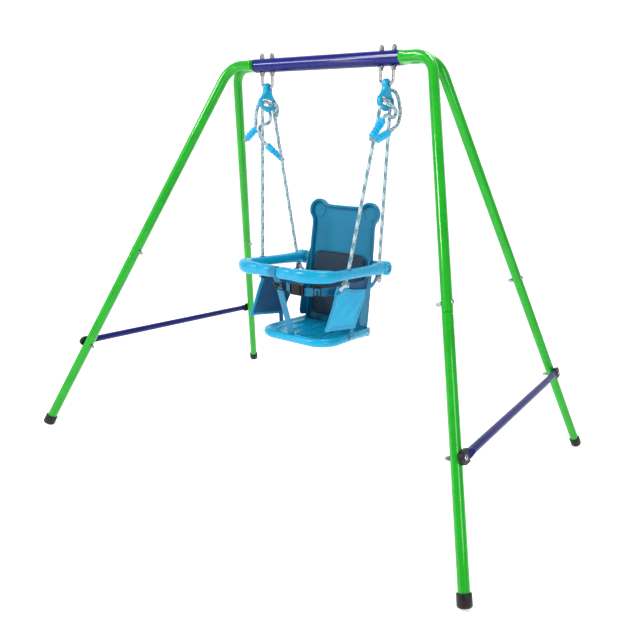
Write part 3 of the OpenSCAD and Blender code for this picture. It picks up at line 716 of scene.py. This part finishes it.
def make_ropes():
    for key, sx, sy in (("rf", 1, -1), ("rr", 1, 1), ("lf", -1, -1), ("lr", -1, 1)):
        a, b, d = rope_line(sx, sy)
        main = even([a - d * 0.030, b + d * 0.004], STEP)
        rope = braid("rope_braid_" + key, main, "swing")
        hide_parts("rope_" + key)
        route = [V(p) * MM for p in TAILS[key]]
        line = spline(route, STEP)
        tail = braid("rope_tail_braid_" + key, line, "swing")
        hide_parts("rope_tail_" + key)
        end = rounded("ribbed_end_" + key, 0.0006, CYAN_LIGHT, "swing")
        rope_tip(key)
        round(runs(line)[-1], 4)
        [tuple(p) for p in spline(route, 0.004)]
        c = a - d * 0.032
        braid("knot_" + key, knot_path(c, d, 0.0072), "swing", radius=0.0050,
                           colours=KNOT)
        side = unit(V((-sx * 0.35, sy * 0.9, -0.35)))
        stub = [c + side * 0.004, c + side * 0.012 + V((0, 0, -0.002)),
                c + side * 0.021 + V((0, 0, -0.007))]
        braid("knot_end_" + key, spline(stub, STEP), "swing", radius=0.0050, colours=KNOT_END)
    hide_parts("rope_knots")
    for sx, key in ((1, "r"), (-1, "l")):
        bight("bight_" + key, [(sx * 215, -22, 1060), (sx * 215, -17, 1066),
                               (sx * 214, -6, 1067.5), (sx * 215, 6, 1066), (sx * 216, 17, 1066),
                               (sx * 215, 22, 1060)])
    bight("bight_lr", [(-214, 21, 1063), (-205, 22, 1066), (-201, 26, 1060), (-201, 30, 1050),
                       (-204, 31, 1040), (-208, 30, 1030)])


make_ropes()


# ------------------------ frame
def paint(node, mat):
    o = NODES[node]
    if not o.material_slots:
        o.data.materials.append(mat)
    for s in o.material_slots:
        s.material = mat


for k in ("rf", "rr", "lf", "lr"):
    paint("leg_upper_" + k, GREEN)
    paint("leg_lower_" + k, GREEN)
    rounded("foot_cap_" + k, 0.0018, BLACK, "frame")
paint("top_bar", BLUE)
paint("brace_right", NAVY)
paint("brace_left", NAVY)
rounded("brace_caps", 0.0022, BLACK, "frame")
for n in ("leg_bolts", "brace_bolts", "ubolt_right", "ubolt_left", "guard_bolts", "pan_bolts"):
    paint(n, ZINC)
for n in ("leg_nuts", "brace_nuts", "ubolt_lower_nuts", "ubolt_cap_nuts", "ubolt_washers",
          "guard_nuts", "pan_nuts"):
    paint(n, STEEL)


def swage(sx):
    """The pressed collar round the two leg tubes, where they enter the top bar."""
    lo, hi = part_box("top_bar")
    zc = (lo[2] + hi[2]) / 2
    # distance past the bar's end, half height, half width, squareness
    steps = [(-0.0006, 18.6, 18.6, 2.0), (0.0002, 18.6, 18.8, 2.0), (0.0008, 18.3, 20.8, 2.1),
             (0.0015, 17.4, 25.0, 2.4), (0.0022, 16.4, 28.0, 2.8), (0.0032, 15.8, 28.5, 3.0),
             (0.0080, 15.0, 28.5, 3.2), (0.0150, 14.5, 28.4, 3.4), (0.0220, 13.6, 28.0, 3.4),
             (0.0290, 11.0, 27.0, 3.2), (0.0340, 8.0, 25.5, 3.0)]
    pts = [V((sx * (hi[0] + d), 0, zc)) for d, _, _, _ in steps]
    o = sweep("leg_swage_" + ("right" if sx > 0 else "left"), pts,
              lambda i: ring_pts(steps[i][1] * MM, steps[i][2] * MM, 48, steps[i][3]),
              GREEN, "frame", hint=(0, 0, 1))
    sharpen(o, 40)


swage(1)
swage(-1)


# ------------------------ hangers
def hanger(sx, key):
    half = [(0.0, 14.6), (6.5, 13.4), (11.5, 9.6), (14.2, 4.0), (14.6, -3.0), (14.8, -10),
            (17.5, -18), (23.0, -25), (30.0, -31.5), (36.0, -38.5), (38.2, -46), (35.5, -53.5),
            (28.5, -58.0), (20.0, -59.5), (13.5, -61.5), (8.0, -65.5), (3.0, -67.5)]
    loop = [(x * MM, z * MM) for x, z in half] + [(-x * MM, z * MM) for x, z in half[:0:-1]]
    eye = circle(0, 0, 0.0047, 32)
    window = [(x, -0.0420 + y) for x, y in ring_pts(0.0284, 0.0096, 40, 3.4)]
    # the outline stands in the YZ plane
    m = Matrix(((0, 0, 1, sx * HANG_X), (1, 0, 0, 0), (0, 1, 0, PIVOT_Z), (0, 0, 0, 1)))
    parts = [plate("body", [chaikin(loop), eye, window], 0.0150, 0.0042, m, CYAN, None)]
    rib = chaikin([(0.0, -0.011), (0.0042, -0.015), (0.0048, -0.021), (0.0036, -0.026),
                   (0.0, -0.0275), (-0.0036, -0.026), (-0.0048, -0.021), (-0.0042, -0.015)])
    collar = [(0.0066, 0.0052), (0.0086, 0.0056), (0.0090, 0.0070), (0.0086, 0.0104),
              (0.0066, 0.0112)]
    for side in (-1, 1):
        parts.append(lathe("eye_collar", collar, (sx * HANG_X, 0, PIVOT_Z), (side, 0, 0), CYAN,
                           None, 36))
        face = Matrix.Translation((side * 0.0070, 0, 0)) @ m
        parts.append(rim("neck_rib", rib, 0.0, 0.0016, 0.0014, 0.0, face, CYAN))
    o = join("hanger_moulding_" + key, parts, "swing")
    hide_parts("hanger_" + key)


hanger(1, "right")
hanger(-1, "left")


# ------------------------ guard ring
def guard_ring():
    """A tube round three sides, swollen into lobes, with a boss at each rear end."""
    cr = 0.080  # radius of its two corners
    cx, cy = RING_X - cr, cr - RING_FRONT
    front, corner = cx, cr * math.pi / 2
    total = front + corner + (RING_REAR - cy)

    def place(s):
        """The point at s along the ring from the middle of its front."""
        q = abs(s)
        sg = 1 if s >= 0 else -1
        if q <= front:
            return V((sg * q, -RING_FRONT, 0))
        if q <= front + corner:
            a = (q - front) / cr
            return V((sg * (cx + cr * math.sin(a)), cy - cr * math.cos(a), 0))
        return V((sg * RING_X, cy + (q - front - corner), 0))

    def swell(q, lo, hi):
        """0 outside lo..hi, and a blunt hump up to 1 between them."""
        if q <= lo or q >= hi:
            return 0.0
        x = (q - (lo + hi) / 2) / ((hi - lo) / 2)
        return (1 - abs(x) ** 3.2) ** 0.5

    n = 260
    pts, sizes = [], []
    for i in range(n + 1):
        s = -total + 2 * total * i / n
        q = abs(s)
        inner, outer = swell(q, 0.0145, 0.0605), swell(q, 0.0590, 0.192)
        root = min(1.0, max(0.0, (q - 0.30) / 0.13))
        pts.append(place(s) + V((0, SY, RING_Z)))
        sizes.append((0.0140 + 0.0030 * inner + 0.0042 * outer + 0.0008 * root,
                      0.0146 + 0.0026 * inner + 0.0040 * outer + 0.0042 * root ** 2))
    parts = [sweep("guard_ring_tube", pts,
                   lambda i: ring_pts(sizes[i][1], sizes[i][0], 28, 2.5), CYAN, None,
                   hint=(0, 0, 1))]
    boss = [(-0.0150, 0.0), (-0.0150, 0.018), (-0.0140, 0.0212), (-0.011, 0.0225),
            (0.012, 0.0225), (0.0150, 0.0216), (0.0166, 0.0196), (0.0170, 0.0170),
            (0.0170, 0.0128), (0.0164, 0.0112), (0.0116, 0.0105), (0.0110, 0.0)]
    for sx in (-1, 1):
        parts.append(lathe("boss", boss, (sx * RING_X, SY + RING_REAR, RING_Z), (sx, 0, 0),
                           CYAN, None, 48))
    for p in parts:
        sharpen(p, 50)
    o = join("guard_ring_moulding", parts, "swing")
    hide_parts("guard_ring")
    bush = [(-0.003, 0.0066), (-0.003, 0.0088), (0.0004, 0.0088), (0.0014, 0.0080),
            (0.0016, 0.0066), (-0.002, 0.0062)]
    for key, sx, sy in (("lf", -1, -1), ("lr", -1, 1), ("rf", 1, -1), ("rr", 1, 1)):
        a, _, d = rope_line(sx, sy)
        # the bushes take the darker copy of the cyan plastic, which is painted shade
        g = lathe("rope_bush_" + key, bush, a + d * 0.0146, d, CYAN_PAINTED_SHADE, "swing", 28)


guard_ring()


# ------------------------ backrest
LEAN = math.radians(5.3)
# the backrest's own frame: X across, Z up the leaning back, from the middle of its foot
BACK = Matrix.Translation((0, SY + 0.115, 0.366)) @ Matrix.Rotation(-LEAN, 4, "X")
STAND = Matrix.Rotation(math.pi / 2, 4, "X")  # local Y goes up, local Z to the front


LOBE_X, LOBE_Y = 0.100, 0.389  # middle of each round lobe at the top


def back_outline():
    half = [(0.0, 0.409), (0.030, 0.409), (0.052, 0.4095), (0.064, 0.410)]
    for k in range(13):
        a = math.radians(138 - k * (138 + 52) / 12)
        half.append((LOBE_X + 0.0365 * math.cos(a), LOBE_Y + 0.0365 * math.sin(a)))
    half += [(0.1205, 0.340), (0.1232, 0.300), (0.1245, 0.22), (0.1258, 0.12), (0.1262, 0.04),
             (0.1262, 0.012), (0.118, 0.0), (0.08, 0.0), (0.04, 0.0)]
    full = half + [(-x, y) for x, y in half[::-1] if x > 1e-6]
    return chaikin(full)


def backrest():
    def fore_and_aft(x):
        # stands a plate's outline in the plane at x: its X runs to the front, its Y up
        return BACK @ Matrix(((0, 0, 1, x), (-1, 0, 0, 0), (0, 1, 0, 0), (0, 0, 0, 1)))

    out = back_outline()
    m = BACK @ STAND
    holes = [slot_loop(s * 0.092, 0.162, 0.006, 0.031) for s in (-1, 1)]
    # shell, edge, wings, ears, bosses, ribs and dimples take the darker copy of the cyan
    # plastic: painted shade
    parts = [plate("shell", [out] + holes, 0.0056, 0.0022,
                   m @ Matrix.Translation((0, 0, -0.0026)), CYAN_PAINTED_SHADE, None),
             rim("edge", out, 0.0050, 0.0050, 0.0092, 0.0040, m, CYAN_PAINTED_SHADE)]
    wing = chaikin([(0.046, 0.036), (0.020, 0.034), (-0.001, 0.034), (-0.001, 0.262),
                    (0.013, 0.262), (0.026, 0.200), (0.038, 0.130), (0.043, 0.080)])
    ear = [(-0.006, 0.012), (-0.006, 0.0172), (-0.004, 0.0190), (0.012, 0.0195),
           (0.0212, 0.0180), (0.0222, 0.0160), (0.0222, 0.0042)]
    boss = [(-0.022, 0.004), (-0.022, 0.0085), (-0.002, 0.0090), (0.0, 0.0080), (0.0, 0.004)]
    for s in (-1, 1):
        parts.append(plate("wing", [wing], 0.0052, 0.0020, fore_and_aft(s * 0.1230), CYAN_PAINTED_SHADE,
                           None))
        parts.append(lathe("ear", ear, (s * 0.126, SY + RING_REAR, RING_Z), (s, 0, 0),
                           CYAN_PAINTED_SHADE, None, 40))
        parts.append(lathe("foot_boss", boss, (s * 0.126, SY + 0.116, 0.377), (s, 0, 0),
                           CYAN_PAINTED_SHADE, None, 32))
    rib = chaikin([(-0.013, 0.022), (-0.005, 0.018), (-0.003, 0.018), (-0.003, 0.322),
                   (-0.005, 0.322), (-0.013, 0.312)])
    for x in (-0.060, 0.0, 0.060):
        parts.append(plate("rib", [rib], 0.0034, 0.0010, fore_and_aft(x), CYAN_PAINTED_SHADE, None))
    for s in (-1, 1):
        parts.append(rim("dimple", circle(s * LOBE_X, LOBE_Y, 0.022, 36), 0.0, 0.0022, 0.0016,
                         0.0004, m, CYAN_PAINTED_SHADE))
    for p in parts:
        sharpen(p, 45)
    o = join("backrest_moulding", parts, "swing")
    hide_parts("backrest")


backrest()


# ------------------------ back pad
PAD_UP = 0.150  # the lining's middle, up the backrest


def back_pad():
    """A thin closed pad, swollen by cloth simulation, with seams and piping on it."""
    n, m = 34, 34
    verts, faces = [], []
    half_w, half_h, swell = 0.106, 0.108, 0.0036

    def edge(u, v):
        # rounded-square outline from the unit square
        x, y = 2 * u - 1, 2 * v - 1
        k = 0.16
        return x * math.sqrt(1 - k * y * y), y * math.sqrt(1 - k * x * x)

    for side in (0, 1):
        for j in range(m + 1):
            for i in range(n + 1):
                x, y = edge(i / n, j / m)
                f = max(0.0, 1 - max(abs(2 * i / n - 1), abs(2 * j / m - 1)) ** 6)
                out = -0.0060 - (swell * f if side == 0 else -swell * 0.8 * f)
                verts.append(BACK @ V((x * half_w, out, PAD_UP + y * half_h)))
    off = (n + 1) * (m + 1)
    for j in range(m):
        for i in range(n):
            a = j * (n + 1) + i
            faces.append((a, a + 1, a + n + 2, a + n + 1))
            faces.append((off + a, off + a + n + 1, off + a + n + 2, off + a + 1))
    ob = mesh_piece("back_lining", verts, faces, PAD, None)
    bm = bmesh.new()
    bm.from_mesh(ob.data)
    bmesh.ops.remove_doubles(bm, verts=bm.verts, dist=1e-5)
    bmesh.ops.recalc_face_normals(bm, faces=bm.faces)
    bm.to_mesh(ob.data)
    bm.free()
    puff(ob, 0.0022)
    sub = ob.modifiers.new("smooth", "SUBSURF")
    sub.levels = sub.render_levels = 1
    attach(ob, "swing")
    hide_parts("back_pad")
    # sewn channels across the lining, and piping round its edge
    for k, z in enumerate((0.095, 0.205)):
        line = [BACK @ V((x * MM, -0.0104, z)) for x in range(-92, 93, 8)]
        s = sweep("lining_seam_%d" % k, even(line, 0.004), ring_pts(0.0012, 0.0009, 8), TAPE,
                  "swing", hint=(0, 0, 1))
    loop = [(x, PAD_UP + y) for x, y in ring_pts(0.1045, 0.1065, 96, 2 / 0.22)]
    p = rim("lining_piping", loop, 0.0, 0.0021, 0.0021, 0.0060, BACK @ STAND, TAPE)
    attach(p, "swing")


def puff(ob, cap):
    """Swells a closed pad by cloth simulation, and keeps each point within cap."""
    rest = [v.co.copy() for v in ob.data.vertices]
    mod = ob.modifiers.new("cloth", "CLOTH")
    s = mod.settings
    s.quality, s.mass = 6, 0.2
    s.use_pressure, s.uniform_pressure_force = True, 4.0
    s.effector_weights.gravity = 0
    s.tension_stiffness = s.compression_stiffness = 12
    s.bending_stiffness = 0.4
    for f in range(1, 15):
        scene.frame_set(f)
    dg = bpy.context.evaluated_depsgraph_get()
    new = [v.co.copy() for v in ob.evaluated_get(dg).data.vertices]
    ob.modifiers.remove(mod)
    scene.frame_set(1)
    for v, a, b in zip(ob.data.vertices, rest, new):
        d = b - a
        v.co = a + (d * (cap / d.length) if d.length > cap else d)


back_pad()


# ------------------------ seat pan
def seat_pan():
    """The CAD pan with its edges rolled, and five low grip ribs along it."""
    rounded("seat_pan", 0.0012, CYAN, "swing", angle=50)
    top = 0.3892
    for k in range(5):
        x = (k - 2) * 0.044
        front = SY - 0.088 + 0.010 * abs(k - 2)
        pts = even([V((x, front, top)), V((x, SY + 0.070, top))], 0.004)
        grip = sweep("pan_rib_%d" % k, pts,
                     lambda i, n=len(pts): ring_pts(
                         0.0028, 0.0004 + 0.0012 * min(1.0, min(i, n - 1 - i) / 3.0), 12),
                     CYAN, "swing", hint=(0, 0, 1))


seat_pan()


# ------------------------ fabric side panels
def strap(name, pts, section, hint):
    o = sweep(name, pts, section, WEB, "swing", hint=hint)
    return o


def cloth_sheet(name, at, cells, size, flip, mat, thick):
    """A sheet of cloth with its thickness; also the area of its middle surface."""
    cloth = sheet_mesh(name, at, cells[0], cells[1], size, flip, mat)
    area = sum(p.area for p in cloth.data.polygons)
    sol = cloth.modifiers.new("cloth_thickness", "SOLIDIFY")
    sol.thickness, sol.offset = thick, 0.0
    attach(cloth, "swing")
    return cloth, area


def side_panel(sx, key):
    """The light cloth at one side of the seat, with hems, stitches, tabs and eyelets."""
    # its corners: Y from SY, and Z
    tl, tr = V((-0.081, 0.556)), V((0.088, 0.530))
    br, bl = V((0.018, 0.415)), V((-0.136, 0.431))

    def at(u, v, out=0.0):
        top, low = tl.lerp(tr, u), bl.lerp(br, u)
        p = low.lerp(top, v)
        sag = 0.006 * math.sin(math.pi * u) * v + 0.004 * math.sin(math.pi * v) * (2 * u - 1)
        p = p + V((0.0, -sag)) + V((-0.004 * math.sin(math.pi * v) * (2 * u - 1), 0))
        belly = 0.0036 * math.sin(math.pi * u) * math.sin(math.pi * v)
        fold = 0.0011 * math.sin(9 * (u * 0.9 + v * 0.5)) * math.sin(math.pi * v)
        fold += 0.0009 * math.sin(17 * (u - v * 0.6) + 1.1) * v * (1 - v) * 3
        pull = 0.0014 * math.exp(-9 * (u * u + (1 - v) ** 2)) * math.sin(26 * (u + 1 - v))
        x = 0.1465 + belly + fold + pull + out
        return V((sx * x, SY + p[0], p[1]))

    cloth, area = cloth_sheet("side_cloth_" + key, at, (44, 36), (0.155, 0.135), sx < 0, PANEL,
                              0.0014)
    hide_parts("side_panel_" + key)

    def line(side, e):
        """A line along one side, e of the panel's width or height in from it."""
        return {"top": lambda t: (t, 1 - e), "low": lambda t: (t, e),
                "front": lambda t: (e, t), "rear": lambda t: (1 - e, t)}[side]

    def along(name, f, w, t, mat, out):
        pts = even([at(*f(k / 40.0), out) for k in range(41)], 0.004)
        strip = sweep(name + "_" + key, pts, upright_strap(w, t), mat, "swing",
                      hint=(sx, 0, 0))

    for side, w, t, out in (("top", 0.013, 0.0034, 0.0004), ("low", 0.012, 0.0032, 0.0002),
                            ("front", 0.012, 0.0030, 0.0002),
                            ("rear", 0.012, 0.0030, 0.0002)):
        along("hem_" + side, line(side, 0.045), w, t, HEM, out)
    along("tape_top", line("top", 0.045), 0.015, 0.0022, TAPE, -0.0022)
    # stitches along the hems, on the outer face
    verts, faces = [], []
    nrm = V((sx, 0, 0))
    for side, span in (("top", 0.155), ("low", 0.15), ("front", 0.14), ("rear", 0.14)):
        f = line(side, 0.085)
        count = int(span / 0.0036)
        for k in range(count):
            t0, t1 = 0.05 + 0.9 * k / count, 0.05 + 0.9 * (k + 0.62) / count
            a, b = at(*f(t0), 0.0021), at(*f(t1), 0.0021)
            c = unit(b - a).cross(nrm) * 0.00032
            base = len(verts)
            for q, h in ((a, 0.0), (a.lerp(b, 0.5), 0.0006), (b, 0.0)):
                verts += [q - c, q + nrm * (h + 0.0003), q + c]
            for r in (base, base + 3):
                faces += [(r, r + 1, r + 4, r + 3), (r + 1, r + 2, r + 5, r + 4)]
    st = mesh_piece("panel_stitches_" + key, verts, faces, THREAD, "swing")
    # webbing tabs: two up to the rope knots, one down to the pan
    eyelet = [(-0.0012, 0.0056), (-0.0012, 0.0096), (0.0, 0.0104), (0.0012, 0.0096),
              (0.0012, 0.0056)]
    for name, y, z, sy in (("f", -0.072, 0.549, -1), ("r", 0.077, 0.527, 1)):
        a, _, d = rope_line(sx, sy)
        knot = a - d * 0.0225
        start = V((sx * 0.1486, SY + y, z))
        pts = [start + V((0, 0, -0.016)), start,
               start.lerp(knot, 0.55) + V((sx * 0.001, 0, -0.003)),
               knot + V((-sx * 0.0045, 0, -0.001))]
        strap("tab_%s_%s" % (name, key), spline(pts, 0.003), upright_strap(0.018, 0.0018),
              (sx, 0, 0))
        o = lathe("eyelet_%s_%s" % (name, key), eyelet, knot, d, ZINC, "swing", 28)
    low = [V((sx * 0.1452, SY + 0.004, 0.430)), V((sx * 0.1450, SY + 0.005, 0.412)),
           V((sx * 0.1440, SY + 0.005, 0.396)), V((sx * 0.1430, SY + 0.005, 0.380))]
    strap("tab_low_" + key, spline(low, 0.003), upright_strap(0.020, 0.0018), (sx, 0, 0))
    rivet = [(-0.002, 0.0052), (0.0010, 0.0052), (0.0024, 0.0036), (0.0028, 0.0)]
    o = lathe("tab_rivet_" + key, rivet, (sx * 0.1436, SY + 0.005, 0.3835), (sx, 0, 0), ZINC,
              "swing", 24)


side_panel(1, "right")
side_panel(-1, "left")


def side_shade_sheet(sx, key):
    """A dark cloth sheet inside a side panel, painted shade for the panel's shaded inside: it
    rises past the panel's top edge to the ropes.
    """
    tl, tr = V((-0.056, 0.5655)), V((0.094, 0.5635))
    br, bl = V((0.020, 0.424)), V((-0.124, 0.438))

    def at(u, v):
        p = bl.lerp(br, u).lerp(tl.lerp(tr, u), v)
        p = p - V((0, 0.0075 * math.sin(math.pi * u) * v ** 3))
        x = 0.1432 - 0.0016 * math.sin(math.pi * u) * math.sin(math.pi * v)
        x += 0.0007 * math.sin(15 * (u + 0.4 * v)) * v * (1 - v) * 4
        x -= 0.0016 * max(0.0, v - 0.8) / 0.2
        return V((sx * x, SY + p[0], p[1]))

    cloth, area = cloth_sheet("side_shade_sheet_" + key, at, (40, 36), (0.150, 0.140), sx < 0,
                              PANEL_SHADE_CLOTH, 0.0010)


side_shade_sheet(1, "right")
side_shade_sheet(-1, "left")


# ------------------------ straps
WEB_WIDE, WEB_THICK, DOUBLED_THICK = 0.025, 0.0018, 0.0017


def crotch_strap():
    """A band round the ring's front, its fall to the pan, and a return to the slider."""
    loop = []
    for k in range(36, 36 + 49):  # from under the ring, up behind it, over it and down
        w = TAU * (k % 48) / 48
        loop.append(V((0, SY - RING_FRONT + 0.0160 * math.cos(w),
                       RING_Z + 0.0160 * math.sin(w))))
    down = [V((0, SY - 0.1760, RING_Z - 0.0158)), V((0, SY - 0.1656, 0.549)),
            V((0, SY - 0.1460, 0.494)), V((0, SY - 0.1270, 0.442)), V((0, SY - 0.1105, 0.398)),
            V((0, SY - 0.1084, 0.388)), V((0, SY - 0.1084, 0.376))]
    back = [p + V((0, 0.0022, 0.0)) for p in down[:2]] + [V((0, SY - 0.1550, 0.5265))]
    thin = strap_section(WEB_WIDE, DOUBLED_THICK)
    strap("crotch_strap_loop", even(loop, 0.003), strap_section(WEB_WIDE, WEB_THICK),
          (1, 0, 0))
    tail = strap("crotch_strap_web", spline(down, 0.003), thin, (1, 0, 0))
    strap("crotch_strap_return", spline(back, 0.003), thin, (1, 0, 0))
    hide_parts("crotch_strap")


def waist_belt():
    """Two halves round the hips to the backrest's slots, and the right one's return."""
    radius, y0, z0 = 0.092, SY + 0.008, 0.5275

    def ring(degrees, grow=1.0):
        a, r = math.radians(degrees), radius * grow
        return V((r * math.sin(a), y0 - r * math.cos(a), z0 - 0.004 * math.cos(a)))

    for sx, key in ((1, "right"), (-1, "left")):
        pts = [ring(sx * d) for d in range(15, 91, 5)]
        pts += [V((sx * radius, SY + y, z0)) for y in (0.030, 0.055, 0.080, 0.105, 0.1365)]
        s = strap("waist_belt_" + key, spline(pts, 0.003), upright_strap(WEB_WIDE, WEB_THICK),
                  (sx, 0, 0))
        if sx > 0:
            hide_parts("waist_belt")
            over = [ring(d, 1.026) for d in range(28, 66, 4)]
            strap("waist_belt_return", spline(over, 0.003),
                  upright_strap(WEB_WIDE, DOUBLED_THICK), (sx, 0, 0))
        bar = plate("belt_stop_" + key, [slot_loop(0, 0, 0.014, 0.028, 0.003)], 0.0032, 0.001,
                    Matrix.Translation((sx * radius, SY + 0.1381, z0)) @ STAND, WEB, "swing")


crotch_strap()
waist_belt()
rounded("strap_slider", 0.0009, BLACK, "swing")
rounded("belt_slider", 0.0009, BLACK, "swing")
rounded("belt_buckle", 0.0022, BLACK, "swing")


# ------------------------ studio
def studio():
    """A pale floor that curves up into a wall, a white world and soft lights."""
    half, wall, bend, top, n = 14.0, 4.5, 1.8, 9.0, 24
    arc = [math.pi / 2 * k / n for k in range(1, n + 1)]
    prof = ([(-half, 0.0), (wall, 0.0)]
            + [(wall + bend * math.sin(a), bend - bend * math.cos(a)) for a in arc]
            + [(wall + bend, top)])
    k = len(prof)
    me = bpy.data.meshes.new("floor")
    me.from_pydata([(x, y, z) for x in (-half, half) for y, z in prof], [],
                   [(i, i + 1, k + i + 1, k + i) for i in range(k - 1)])
    all_smooth(me)
    m, nt, b, tc = new_material("pale_floor", Roughness=0.95, Specular_IOR_Level=0.0,
                                Emission_Color=(1, 1, 1, 1), Emission_Strength=0.5)
    drift = noise(nt, tc.outputs["Object"], 1.5, 2.0)
    nt.links.new(mix(nt, ramp(nt, drift, 0.3, 0.7, 0, 1), (0.90, 0.90, 0.90, 1),
                     (0.92, 0.92, 0.92, 1)), b.inputs["Base Color"])
    me.materials.append(m)
    floor = put_in_scene("floor", me, None)
    floor.rotation_euler = (0, 0, math.radians(29))
    # the world lights softly, and is plain white where it is seen
    w = bpy.data.worlds.new("studio")
    scene.world = w
    w.use_nodes = True
    nt = w.node_tree
    both = add(nt, "ShaderNodeMixShader")
    path = add(nt, "ShaderNodeLightPath")
    nt.links.new(path.outputs["Is Camera Ray"], both.inputs[0])
    for i, (node, strength) in enumerate(((nt.nodes["Background"], 0.4),
                                          (add(nt, "ShaderNodeBackground"), 1.0))):
        node.inputs[0].default_value = (1.0, 1.0, 1.0, 1)
        node.inputs[1].default_value = strength
        nt.links.new(node.outputs[0], both.inputs[1 + i])
    nt.links.new(both.outputs[0], nt.nodes["World Output"].inputs[0])
    # name, place, what it faces, size, power and colour
    for name, loc, aim, size, power, col in (
            ("key", (-1.6, -2.8, 3.2), (0, 0, 0.7), (1.0, 1.0), 100, (1, 0.99, 0.97)),
            ("strip", (-1.35, -1.98, 1.05), (0.3, 0, 1.0), (0.16, 2.1), 7, (1, 1, 1)),
            ("top", (0.3, 0.6, 3.6), (0, 0, 0.9), (1.0, 1.0), 45, (1, 1, 1)),
            ("fill", (3.0, -1.8, 1.8), (0, 0, 0.7), (0.9, 1.6), 40, (0.97, 0.98, 1)),
            ("bar_glint", (-1.5, -1.9, 1.80), (-1.5, 0, 1.17), (2.2, 0.34), 70, (1, 1, 1))):
        data = bpy.data.lights.new(name, "AREA")
        data.shape = "RECTANGLE"
        data.energy, data.size, data.size_y, data.color = power, size[0], size[1], col
        lamp = bpy.data.objects.new(name, data)
        scene.collection.objects.link(lamp)
        lamp.location = loc
        lamp.rotation_euler = (V(aim) - V(loc)).to_track_quat("-Z", "Y").to_euler()
        if name == "bar_glint":  # lights the top bar alone
            only = bpy.data.collections.new("bar_glint_on")
            only.objects.link(NODES["top_bar"])
            lamp.light_linking.receiver_collection = only


studio()
